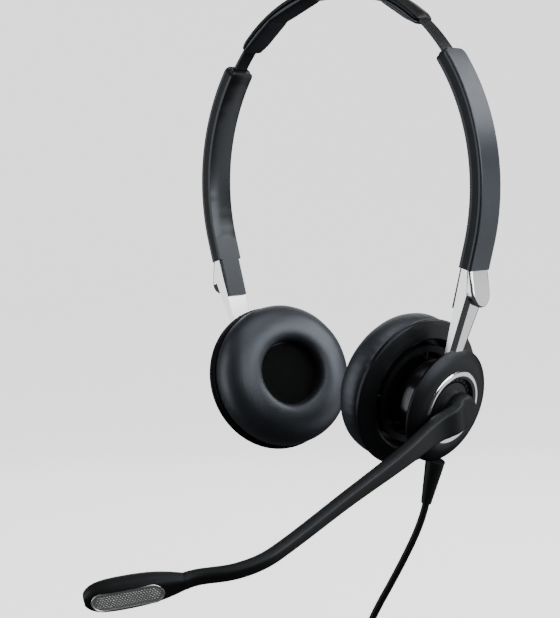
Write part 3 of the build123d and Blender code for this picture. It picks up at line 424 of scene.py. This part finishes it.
# ---- mesh helpers -------------------------------------------------------------------
def finished_mesh(name, mesh):
    """A smooth-shaded object from a finished bmesh, with its faces turned outward."""
    bmesh.ops.remove_doubles(mesh, verts=mesh.verts, dist=1e-7)
    bmesh.ops.recalc_face_normals(mesh, faces=mesh.faces)
    data = bpy.data.meshes.new(name)
    mesh.to_mesh(data)
    mesh.free()
    data.shade_smooth()
    piece = bpy.data.objects.new(name, data)
    bpy.context.scene.collection.objects.link(piece)
    return piece


def ring_of(steps):
    """Equal angles once round a circle."""
    return [2 * pi * step / steps for step in range(steps)]


def side_of(value):
    """One for a value over zero, minus one for the rest."""
    return 1 if value > 0 else -1


def lathe(name, outline, place, segments, offset=None):
    """A closed solid turned about X from (along, radius) points, in metres."""
    mesh = bmesh.new()
    rings = []
    for angle in ring_of(segments):
        ring = []
        for along, radius in outline:
            if offset is not None:
                along, radius = offset(along, radius, angle)
            point = Vector((along, radius * cos(angle), radius * sin(angle)))
            ring.append(mesh.verts.new(place @ point))
        rings.append(ring)
    count = len(outline)
    for step in range(segments):
        here, following = rings[step], rings[(step + 1) % segments]
        for index in range(count):
            after = (index + 1) % count
            mesh.faces.new((here[index], here[after], following[after], following[index]))
    return finished_mesh(name, mesh)


def skin(name, sections, closed_ends=True):
    """A closed skin through equal rings of points."""
    mesh = bmesh.new()
    rings = [[mesh.verts.new(point) for point in section] for section in sections]
    count = len(sections[0])
    for here, following in zip(rings, rings[1:]):
        for index in range(count):
            after = (index + 1) % count
            mesh.faces.new((here[index], here[after], following[after], following[index]))
    if closed_ends:
        mesh.faces.new(rings[0])
        mesh.faces.new(rings[-1])
    return finished_mesh(name, mesh)


def smooth(piece, levels):
    """Gives a piece a subdivision surface."""
    modifier = piece.modifiers.new("smooth", "SUBSURF")
    modifier.levels = levels
    modifier.render_levels = levels


# ---- pieces -------------------------------------------------------------------------
class HEADSET_OT_cad_finishes(bpy.types.Operator):
    """Give every CAD node its finish and soften its moulded edges"""

    bl_idname = "headset.cad_finishes"
    bl_label = "CAD finishes"

    SOFT_EDGES = (
        "arm_frame",
        "arm_inner_cover",
        "fork",
        "boom_arm",
        "hub_cap",
        "headpad_shell",
        "cup_back",
        "plug_body",
    )
    EDGE = 0.22 * MM
    SHARPEST = 35.0  # degrees: edges that turn by less stay as they are
    WELD_DISTANCE = 1e-6

    def execute(self, context):
        make_finishes()
        for part in frame["record"]["subparts"]:
            node = part["node"]
            piece = NODES[node]
            dress(piece, LINER if node.endswith("arm_inner_cover") else part["material_slot"])
            if node in self.SOFT_EDGES or node.split("_", 1)[-1] in self.SOFT_EDGES:
                self.soften(piece)
        return {"FINISHED"}

    def soften(self, piece):
        weld = piece.modifiers.new("weld", "WELD")
        weld.merge_threshold = self.WELD_DISTANCE
        bevel = piece.modifiers.new("soft_edge", "BEVEL")
        bevel.width = self.EDGE
        bevel.segments = 2
        bevel.limit_method = "ANGLE"
        bevel.angle_limit = radians(self.SHARPEST)
        bevel.harden_normals = True


class HEADSET_OT_ear_cushions(bpy.types.Operator):
    """Build the two ear cushions with their piping, creases and stitch"""

    bl_idname = "headset.ear_cushions"
    bl_label = "Ear cushions"

    SEGMENTS = 180
    CREASES = 46
    RIM_GAP = 0.05 * MM
    # share of the depth from the back, and millimetres in from the rim
    OUTSIDE = (
        (0.0, 5.2),
        (0.0, 2.6),
        (0.02, 1.5),
        (0.10, 0.55),
        (0.22, 0.10),
        (0.38, 0.0),
        (0.54, 0.35),
        (0.68, 1.30),
        (0.80, 2.90),
        (0.895, 4.70),
        (0.955, 6.60),
        (0.990, 8.70),
        (1.000, 10.8),
        (0.985, 12.7),
    )
    # share of the depth from the back, and millimetres out from the hole
    MOUTH = ((0.945, 1.75), (0.880, 0.90), (0.790, 0.45), (0.67, 0.35))
    CLOTH_GAP = 0.1 * MM
    SEAT = (0.7 * MM, 6.0 * MM)  # where the cushion lies on the cloth, out from the hole
    INSIDE = (0.30, 8.0)
    FILL = 0.85
    # creases and lumps in the cover
    BACK_REACH = 5.0 * MM  # how far the creases run on from the back, and from the hole
    MOUTH_REACH = 6.0 * MM
    BACK_BAND = 3.0 * MM  # the creases' room at the rim, and at the front
    FRONT_BAND = 7.0 * MM
    SECOND_CREASE = (0.6, 1.7, 1.3)  # height, number and start, next to the main creases
    BACK_CREASE, MOUTH_CREASE = 0.9, 0.5
    LUMP = 0.16 * MM
    LUMP_SIZE = (3.0, 120.0)
    LUMP_MARGIN = 2.0 * MM
    # rolled hem
    HEM_CORNERS = 10
    HEM_PROUD = 0.1
    HEM_INSET = 1.75 * MM
    # sewn tuck
    TUCK_STEPS, TUCK_CORNERS = 12, 8
    TUCK_START = 0.55 * MM
    TUCK_DEPTH, TUCK_RISE, TUCK_BEND = 2.6, 2.3, 0.6
    TUCK_RADIUS = 0.22 * MM
    TUCK_THIN = 0.35

    def execute(self, context):
        for side in SIDES:
            self.cushion(side)
        return {"FINISHED"}

    def cushion(self, side):
        place = cup_place(side)
        low, high = local_box(side + "_ear_cushion", place)
        cloth_low, cloth_high = local_box(side + "_speaker_cloth", place)
        rim = high.z - self.RIM_GAP
        back, front = high.x, low.x
        hole = cloth_high.z
        outline = self.outline(back, back - front, rim, hole, cloth_low.x + self.CLOTH_GAP)
        creases = self.creased(front, back, rim, hole)
        piece = lathe(side + "_cushion_cover", outline, place, self.SEGMENTS, creases)
        smooth(piece, 2)
        dress(piece, "cushion_leatherette")
        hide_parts(side + "_ear_cushion")
        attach(piece, side + "_cup")
        self.piping(side, place, back, rim)
        self.stitch(side, place, front, hole)

    def outline(self, back, deep, rim, hole, cloth):
        """Section of the cushion: round its outside, into its mouth and back along the cloth."""
        points = [(back - share * deep, rim - drop * MM) for share, drop in self.OUTSIDE]
        points += [(back - share * deep, hole + rise * MM) for share, rise in self.MOUTH]
        points += [(cloth, hole + rise) for rise in self.SEAT]
        share, rise = self.INSIDE
        return points + [(back - share * deep, hole + rise * MM)]

    def creased(self, front, back, rim, hole):
        """Radial creases where the cover is drawn over the back and into the mouth."""
        deep = sizes().pucker
        height, number, start = self.SECOND_CREASE
        round_size, along_size = self.LUMP_SIZE

        def offset(along, radius, angle):
            at_back = radius > rim - self.BACK_BAND
            at_front = along < front + self.FRONT_BAND
            near_back = max(0.0, 1.0 - (back - along) / self.BACK_REACH) * at_back
            near_hole = max(0.0, 1.0 - (radius - hole) / self.MOUTH_REACH) * at_front
            ripple = sin(self.CREASES * angle) + height * sin(self.CREASES * number * angle + start)
            spot = Vector((round_size * cos(angle), round_size * sin(angle), along * along_size))
            lump = noise.noise(spot)
            creases = self.BACK_CREASE * near_back * ripple + self.MOUTH_CREASE * near_hole * ripple
            radius += deep * creases
            radius += self.LUMP * lump * (radius > hole + self.LUMP_MARGIN)
            return along, radius

        return offset

    def piping(self, side, place, back, rim):
        """The rolled hem that is stretched over the cup's flange."""
        radius = sizes().seam
        outline = [
            (back + radius * (self.HEM_PROUD + cos(angle)), rim - self.HEM_INSET + radius * sin(angle))
            for angle in ring_of(self.HEM_CORNERS)
        ]
        piece = lathe(side + "_cushion_hem", outline, place, self.SEGMENTS)
        dress(piece, "cushion_leatherette")
        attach(piece, side + "_cup")

    def stitch(self, side, place, front, hole):
        """Short sewn tuck at the top of the cushion's mouth."""
        length = sizes().stitch
        sections = []
        for step in range(self.TUCK_STEPS + 1):
            share = step / self.TUCK_STEPS
            radius = hole + self.TUCK_START + share * length
            along = front + (self.TUCK_DEPTH - self.TUCK_RISE * share**self.TUCK_BEND) * MM
            size = self.TUCK_RADIUS * (self.TUCK_THIN + sin(pi * share))
            sections.append(
                [
                    place @ Vector((along + size * cos(angle), size * sin(angle), radius))
                    for angle in ring_of(self.TUCK_CORNERS)
                ]
            )
        piece = skin(side + "_cushion_tuck", sections)
        dress(piece, "cushion_leatherette")
        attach(piece, side + "_cup")


class HEADSET_OT_head_pad(bpy.types.Operator):
    """Build the lobed head pad and the ribbed shell over it"""

    bl_idname = "headset.head_pad"
    bl_label = "Head pad"

    LOBES = 5
    STEPS = 150
    ROUND = 28
    # pad: depths in millimetres, widths as shares of the whole
    PAD_RISE = 2.8 * MM  # its flat side over the pad's underside at the crown
    PAD_DEPTH, LOBE_DEPTH = 1.25, 1.5
    PAD_WAIST, PAD_TIP = 0.93, 0.90
    FOLD = 0.02  # nearest that a lobe's phase comes to the fold beside it
    LOBE_BEND = 0.35
    PAD_ACROSS_BEND, PAD_DROP_BEND = 0.55, 0.75
    PAD_END = 0.06  # share of the length that tapers at each end
    PAD_TAPER = (6, 0.25)
    PAD_FILL = 0.7
    # shell
    SHELL_RISE = 2.85 * MM
    SHELL_END = 0.03
    SHELL_TIP_HEIGHT, SHELL_TIP_WIDTH = 0.55, 0.80
    SHELL_ACROSS_BEND, SHELL_LIFT_BEND = 0.6, 0.8
    SHELL_EDGE, SHELL_SWELL = 0.30, 0.45
    SPINE, SPINE_REACH = 0.25, 2.2 * MM

    def execute(self, context):
        self.measure()
        self.pad()
        self.shell()
        return {"FINISHED"}

    def measure(self):
        """The crown's centre and radii, from the frame's pad and shell."""
        low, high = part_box("headpad_cushion")
        points = [vertex.co for vertex in NODES["headpad_shell"].data.vertices]
        top = max(point.z for point in points)
        low_end = min(points, key=lambda point: point.x)
        high_end = max(points, key=lambda point: point.x)
        chord = high_end - low_end
        middle = (high_end + low_end) / 2
        half = chord.length / 2
        rise = top - middle.z
        self.outer = (half * half + rise * rise) / (2 * rise)
        self.centre = Vector((0.0, 0.0, top - self.outer))
        self.inner = -self.centre.z
        self.start = self.angle_of(low_end - self.centre)
        self.stop = self.angle_of(high_end - self.centre)
        self.width = high.y - low.y
        shell_low, shell_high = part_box("headpad_shell")
        self.shell_width = shell_high.y - shell_low.y

    def angle_of(self, vector):
        """Angle from straight up, towards +X."""
        return Vector((vector.x, vector.z)).angle_signed(Vector((0.0, 1.0)))

    def at(self, angle, radius, across):
        """Point of the crown at an angle from straight up."""
        return self.centre + Vector((radius * sin(angle), across, radius * cos(angle)))

    def sections(self, section):
        """Rings from one end of the crown to the other, by a function of share and angle."""
        return [
            section(step / self.STEPS, self.start + (self.stop - self.start) * (step / self.STEPS))
            for step in range(self.STEPS + 1)
        ]

    def pad(self):
        piece = skin("head_pad_cover", self.sections(self.pad_section))
        smooth(piece, 1)
        dress(piece, "cushion_leatherette")
        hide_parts("headpad_cushion")
        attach(piece, "headband")

    def pad_section(self, share, angle):
        band = self.inner + self.PAD_RISE
        phase = (share * self.LOBES) % 1.0
        lobe = sin(pi * min(max(phase, self.FOLD), 1 - self.FOLD)) ** self.LOBE_BEND
        from_end = min(share, 1 - share)
        slope, start = self.PAD_TAPER
        end = min(1.0, sin(pi * from_end * slope + start)) if from_end < self.PAD_END else 1.0
        depth = (self.PAD_DEPTH + self.LOBE_DEPTH * lobe * end) * MM
        waist = self.PAD_WAIST + (1 - self.PAD_WAIST) * lobe
        half = self.width / 2 * waist * (self.PAD_TIP + (1 - self.PAD_TIP) * end)
        ring = []
        for turn in ring_of(self.ROUND):
            across = half * abs(cos(turn)) ** self.PAD_ACROSS_BEND * side_of(cos(turn))
            drop = depth / 2 * (1 - abs(sin(turn)) ** self.PAD_DROP_BEND * side_of(sin(turn)))
            ring.append(self.at(angle, band - drop, across))
        return ring

    def shell(self):
        piece = skin("head_pad_shell", self.sections(self.shell_section))
        smooth(piece, 1)
        dress(piece, "headpad_shell")
        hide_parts("headpad_shell")
        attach(piece, "headband")

    def shell_section(self, share, angle):
        base = self.inner + self.SHELL_RISE
        end = min(1.0, (min(share, 1 - share) / self.SHELL_END) ** 0.5)
        height = self.SHELL_TIP_HEIGHT + (1 - self.SHELL_TIP_HEIGHT) * end
        height *= self.outer - base
        half = self.shell_width / 2 * (self.SHELL_TIP_WIDTH + (1 - self.SHELL_TIP_WIDTH) * end)
        ring = []
        for turn in ring_of(self.ROUND):
            across = half * abs(cos(turn)) ** self.SHELL_ACROSS_BEND * side_of(cos(turn))
            rise = 0.0
            if sin(turn) > 0:
                swell = self.SHELL_SWELL * abs(sin(turn)) ** self.SHELL_LIFT_BEND
                spine = self.SPINE * max(0.0, 1 - abs(across) / self.SPINE_REACH)
                rise = height * (self.SHELL_EDGE + swell + spine)
            ring.append(self.at(angle, base + rise, across))
        return ring


class HEADSET_OT_grille(bpy.types.Operator):
    """Build the perforated oval grille of the microphone"""

    bl_idname = "headset.grille"
    bl_label = "Microphone grille"

    SIDES = 12  # corners of each hole and of its cell's edge
    HOLE = 0.30  # radius, as a share of the pitch
    MARGIN = 0.52  # from a hole's centre to the sheet's edge, the same way
    ROW_STEP = 0.866
    DOME = 0.55 * MM
    SINK = 0.02 * MM
    THICK = 0.2 * MM
    FRAME_STEPS, FRAME_CORNERS = 96, 8
    FRAME_INSET = 0.3 * MM
    FRAME_WIDTH, FRAME_HEIGHT = 0.32 * MM, 0.28 * MM
    FRAME_LIFT = 0.25 * MM

    def execute(self, context):
        place = self.plate_place("mic_grille")
        low, high = local_box("mic_grille", place)
        self.plate(place, high.x - low.x, high.y - low.y)
        return {"FINISHED"}

    def plate_place(self, node):
        """Frame of a flat plate from its vertices: X along it, Z out of its face."""
        points = [vertex.co for vertex in NODES[node].data.vertices]
        centre = sum(points, Vector()) / len(points)
        far = max(points, key=lambda point: (point - centre).length)
        faces = sorted(NODES[node].data.polygons, key=lambda face: face.area)
        normal = faces[-1].normal.copy()
        outward = Vector(JOINTS["boom_rotate"]["axis"])
        if normal.dot(outward) < 0:
            normal.negate()
        along = far - centre
        along = (along - normal * along.dot(normal)).normalized()
        along = self.long_direction(points, centre, normal, along)
        across = normal.cross(along)
        middle = []
        for axis in (along, across, normal):
            reach = [axis.dot(point - centre) for point in points]
            middle.append(axis * (min(reach) + max(reach)) / 2)
        return basis(centre + sum(middle, Vector()), along, across, normal)

    def long_direction(self, points, centre, normal, along):
        """The direction in the plate's plane in which it is narrowest across."""
        best, width = along, None
        for step in range(181):
            turn = Matrix.Rotation(radians(step - 90), 3, normal)
            trial = turn @ along
            across = normal.cross(trial)
            reach = [across.dot(point - centre) for point in points]
            if width is None or max(reach) - min(reach) < width:
                best, width = trial, max(reach) - min(reach)
        return best

    def plate(self, place, length, height):
        """A domed sheet with round holes in offset rows."""
        pitch = sizes().grille_pitch
        row_step = pitch * self.ROW_STEP
        hole = pitch * self.HOLE
        mesh = bmesh.new()
        straight = (length - height) / 2
        rows = int(height / row_step) + 2
        columns = int(length / pitch) + 2
        corner_radius = height / 2

        def from_middle(x, y):
            beyond = max(0.0, abs(x) - straight)
            return (beyond * beyond + y * y) ** 0.5

        def vertex(x, y, lift):
            share = min(1.0, from_middle(x, y) / corner_radius)
            dome = self.DOME * (1 - share * share)
            return mesh.verts.new(place @ Vector((x, y, dome + lift)))

        for row in range(-rows // 2, rows // 2 + 1):
            for column in range(-columns // 2, columns // 2 + 1):
                x0 = (column + 0.5 * (row % 2)) * pitch
                y0 = row * row_step
                if from_middle(x0, y0) >= corner_radius - pitch * self.MARGIN:
                    continue
                rim, lip, deep = [], [], []
                for turn in ring_of(self.SIDES):
                    angle = turn + pi / 6
                    cell = (pitch / 2) / cos((angle % (pi / 3)) - pi / 6)
                    rim.append(vertex(x0 + cell * cos(angle), y0 + cell * sin(angle), 0.0))
                    edge_x, edge_y = x0 + hole * cos(angle), y0 + hole * sin(angle)
                    lip.append(vertex(edge_x, edge_y, -self.SINK))
                    deep.append(vertex(edge_x, edge_y, -self.THICK))
                for corner in range(self.SIDES):
                    after = (corner + 1) % self.SIDES
                    mesh.faces.new((rim[corner], rim[after], lip[after], lip[corner]))
                    mesh.faces.new((lip[corner], lip[after], deep[after], deep[corner]))
        piece = finished_mesh("mic_grille_sheet", mesh)
        dress(piece, "mic_mesh")
        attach(piece, "mic_boom")
        self.lip(place, straight, corner_radius)

    def lip(self, place, straight, corner_radius):
        """Thin bright frame pressed round the sheet."""
        sections = []
        for angle in ring_of(self.FRAME_STEPS):
            outward = Vector((cos(angle), sin(angle), 0.0))
            spot = Vector((straight * side_of(cos(angle)), 0.0, 0.0))
            spot += outward * (corner_radius - self.FRAME_INSET)
            ring = []
            for turn in ring_of(self.FRAME_CORNERS):
                lift = Vector((0.0, 0.0, self.FRAME_LIFT + self.FRAME_HEIGHT * sin(turn)))
                ring.append(place @ (spot + outward * (self.FRAME_WIDTH * cos(turn)) + lift))
            sections.append(ring)
        sections.append(sections[0])
        piece = skin("mic_grille_frame", sections, closed_ends=False)
        dress(piece, "mic_mesh")
        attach(piece, "mic_boom")


class HEADSET_OT_cord(bpy.types.Operator):
    """Lay the cord from its boot down to the coil, round the coil and on to the plug"""

    bl_idname = "headset.cord"
    bl_label = "Cord"

    # lengths without a unit beside them are millimetres
    RELIEF_OFFSET = 2.5 * MM
    LEADS = (38.0 * MM, 46.0 * MM)
    ROUTE = [
        (28.0, -2.6, -213.6),
        (16.8, -5.8, -233.6),
        (9.6, -8.0, -253.6),
        (8.0, -8.6, -273.6),
    ]
    TAIL = [
        (9.0, -10.4, -287.6),
        (10.6, -12.8, -301.6),
        (10.6, -12.8, -315.6),
    ]
    COIL_CENTRE = (-7.5, -8.6, -273.6)
    COIL_RADIUS = 15.5
    BUNDLE = 3.4
    BUNDLE_START = 0.4
    TURNS = 9
    STEPS = 14
    MOVE_FROM, MOVE_OVER = 0.72, 0.28  # share of a turn where the cord moves over, and how long
    LINE_STEPS, ROUND_STEPS, SPLINE_ORDER = 12, 6, 3

    def execute(self, context):
        hub = hub_place("left")
        points = [hub @ Vector((-self.RELIEF_OFFSET, 0.0, -lead)) for lead in self.LEADS]
        points += [Vector(point) * MM for point in self.ROUTE]
        points += self.coil()
        points += [Vector(point) * MM for point in self.TAIL]
        data = bpy.data.curves.new("headset_cord_line", "CURVE")
        data.dimensions = "3D"
        data.resolution_u = self.LINE_STEPS
        data.bevel_depth = sizes().cord / 2
        data.bevel_resolution = self.ROUND_STEPS
        data.use_fill_caps = True
        spline = data.splines.new("NURBS")
        spline.points.add(len(points) - 1)
        for control, point in zip(spline.points, points):
            control.co = (*point, 1.0)
        spline.order_u = self.SPLINE_ORDER
        spline.use_endpoint_u = True
        piece = bpy.data.objects.new("headset_cord_line", data)
        bpy.context.scene.collection.objects.link(piece)
        dress(piece, "cord_rubber")
        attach(piece, "left_arm")
        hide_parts("headset_cord", "cord_coil", "plug_cord")
        return {"FINISHED"}

    def coil(self):
        """Turns that start in the bundle's middle and go round it, one place on at each turn."""
        turns = []
        centre = Vector(self.COIL_CENTRE)
        total = self.TURNS * self.STEPS
        for step in range(1, total + 1):
            count = step / self.STEPS
            angle = -2 * pi * count
            outward, across = self.slot_at(count)
            radius = self.COIL_RADIUS + outward
            spot = Vector((radius * cos(angle), across, radius * sin(angle)))
            turns.append((centre + spot) * MM)
        return turns

    def slot_at(self, count):
        """Place in the bundle's section, moving over to the next one near each turn's end."""
        whole = int(count)
        part = count - whole
        move = max(0.0, min(1.0, (part - self.MOVE_FROM) / self.MOVE_OVER))
        return [
            (1 - move) * here + move * there
            for here, there in zip(self.slot_place(whole), self.slot_place(whole + 1))
        ]

    def slot_place(self, index):
        """Place of a turn in the bundle: the first and last in its middle, the rest round it."""
        if index == 0 or index >= self.TURNS:
            return (0.0, 0.0)
        angle = 2 * pi * (index - 1) / (self.TURNS - 1) + self.BUNDLE_START
        return (self.BUNDLE * cos(angle), self.BUNDLE * sin(angle))


class HEADSET_OT_stage(bpy.types.Operator):
    """Set up the pale floor and backdrop, the studio lights and the camera"""

    bl_idname = "headset.stage"
    bl_label = "Stage, lights and camera"

    AZIMUTH = 43.95
    ELEVATION = 4.8
    ROLL = -1.1
    DISTANCE = 0.600
    SHIFT_RIGHT = -0.0236
    SHIFT_UP = 0.0037
    AIM_HEIGHT = -0.1204
    LENS = 91.9
    SENSOR = 36.0
    CLIP = (0.01, 50.0)
    FLOOR_DROP = 0.002
    FLOOR_SEGMENTS = 64
    # radius and height of the floor's rings
    FLOOR = ((1.4, 0.0), (2.2, 0.06), (2.8, 0.3), (3.2, 0.9), (3.3, 2.0), (3.3, 4.0))
    FLOOR_GLOW = 2.1
    AIR_COLOUR, AIR_GLOW = (0.95, 0.97, 1.0, 1.0), 0.06
    # name, place, size and power
    PANELS = (
        ("top_panel", (0.20, -0.10, 0.80), (0.8, 0.8), 4.0),
        ("right_panel", (1.15, 0.25, 0.30), (0.9, 0.8), 13.0),
        ("back_right_high_panel", (0.60, 0.85, 0.55), (0.7, 0.6), 6.0),
        ("back_right_low_panel", (0.74, 0.92, -0.40), (1.1, 0.9), 3.0),
        ("front_left_panel", (-0.75, -0.80, -0.05), (0.8, 1.1), 5.0),
        ("front_right_panel", (0.90, -0.60, 0.40), (0.4, 0.5), 3.0),
        ("back_panel", (-0.60, 0.65, 0.25), (0.8, 0.8), 2.5),
    )
    PANEL_AIM = (0.0, 0.0, -0.10)

    def execute(self, context):
        self.backdrop()
        self.lights()
        self.camera()
        return {"FINISHED"}

    def camera(self):
        azimuth, elevation, roll = (radians(a) for a in (self.AZIMUTH, self.ELEVATION, self.ROLL))
        flat = cos(elevation)
        back = Vector((sin(azimuth) * flat, -cos(azimuth) * flat, sin(elevation)))
        level = Vector((cos(azimuth), sin(azimuth), 0.0))
        raised = back.cross(level)
        right = level * cos(roll) + raised * sin(roll)
        up = raised * cos(roll) - level * sin(roll)
        aim = Vector((0.0, 0.0, self.AIM_HEIGHT))
        spot = aim + back * self.DISTANCE + level * self.SHIFT_RIGHT + raised * self.SHIFT_UP
        data = bpy.data.cameras.new("camera")
        data.sensor_fit = "AUTO"
        data.sensor_width = self.SENSOR
        data.lens = self.LENS
        data.clip_start, data.clip_end = self.CLIP
        camera = bpy.data.objects.new("camera", data)
        camera.matrix_world = basis(spot, right, up, back)
        bpy.context.scene.collection.objects.link(camera)
        bpy.context.scene.camera = camera

    def backdrop(self):
        """A round floor that sweeps up into a wall a long way behind."""
        material, tree, shader = new_material("studio_paper")
        paper = tuple(colours().floor)
        tone = noise_at(tree, texture_place(tree), 2.0, 2.0)
        base = ramp(tree, tone, [(0.3, shade(paper, 0.995)), (0.7, paper)])
        tree.links.new(base, shader.inputs["Base Color"])
        shader.inputs["Roughness"].default_value = 0.95
        shader.inputs["Specular IOR Level"].default_value = 0.0
        tree.links.new(base, shader.inputs["Emission Color"])
        shader.inputs["Emission Strength"].default_value = self.FLOOR_GLOW
        floor = CAD_BOX[0][2] - self.FLOOR_DROP
        mesh = bmesh.new()
        rings = [
            [
                mesh.verts.new((radius * cos(angle), radius * sin(angle), floor + height))
                for angle in ring_of(self.FLOOR_SEGMENTS)
            ]
            for radius, height in self.FLOOR
        ]
        mesh.faces.new(rings[0])
        for here, following in zip(rings, rings[1:]):
            for step in range(self.FLOOR_SEGMENTS):
                after = (step + 1) % self.FLOOR_SEGMENTS
                mesh.faces.new((here[step], here[after], following[after], following[step]))
        bmesh.ops.recalc_face_normals(mesh, faces=mesh.faces)
        bmesh.ops.reverse_faces(mesh, faces=mesh.faces)
        piece = finished_mesh("studio_floor", mesh)
        piece.data.materials.append(material)
        # the glow lights the camera's view only, so that dark pieces stay dark
        piece.visible_diffuse = False
        piece.visible_glossy = False

    def lights(self):
        world = bpy.data.worlds.new("studio_air")
        bpy.context.scene.world = world
        world.use_nodes = True
        background = world.node_tree.nodes["Background"]
        background.inputs["Color"].default_value = self.AIR_COLOUR
        background.inputs["Strength"].default_value = self.AIR_GLOW
        for name, spot, size, power in self.PANELS:
            self.panel(name, spot, size, power)

    def panel(self, name, spot, size, power):
        data = bpy.data.lights.new(name, "AREA")
        data.shape = "RECTANGLE"
        data.size, data.size_y = size
        data.energy = power
        light = bpy.data.objects.new(name, data)
        towards = (Vector(self.PANEL_AIM) - Vector(spot)).to_track_quat("-Z", "Y")
        light.matrix_world = Matrix.Translation(spot) @ towards.to_matrix().to_4x4()
        bpy.context.scene.collection.objects.link(light)


class HEADSET_PT_panel(bpy.types.Panel):
    """Lists the headset's building steps"""

    bl_idname = "HEADSET_PT_panel"
    bl_label = "Office Headset"
    bl_space_type = "VIEW_3D"
    bl_region_type = "UI"
    bl_category = "Headset"

    def draw(self, context):
        column = self.layout.column()
        for step in STEPS:
            column.operator(step.bl_idname)
        for group in (context.scene.headset_colours, context.scene.headset_sizes):
            for name in group.__annotations__:
                column.prop(group, name)


STEPS = (
    HEADSET_OT_cad_finishes,
    HEADSET_OT_ear_cushions,
    HEADSET_OT_head_pad,
    HEADSET_OT_grille,
    HEADSET_OT_cord,
    HEADSET_OT_stage,
)
CLASSES = (HeadsetColours, HeadsetSizes, *STEPS, HEADSET_PT_panel)


def register():
    for item in CLASSES:
        bpy.utils.register_class(item)
    bpy.types.Scene.headset_colours = bpy.props.PointerProperty(type=HeadsetColours)
    bpy.types.Scene.headset_sizes = bpy.props.PointerProperty(type=HeadsetSizes)


def unregister():
    del bpy.types.Scene.headset_sizes
    del bpy.types.Scene.headset_colours
    for item in reversed(CLASSES):
        bpy.utils.unregister_class(item)


def main():
    register()
    bpy.ops.headset.cad_finishes()
    bpy.ops.headset.ear_cushions()
    bpy.ops.headset.head_pad()
    bpy.ops.headset.grille()
    bpy.ops.headset.cord()
    bpy.ops.headset.stage()


if __name__ == "__main__":
    main()
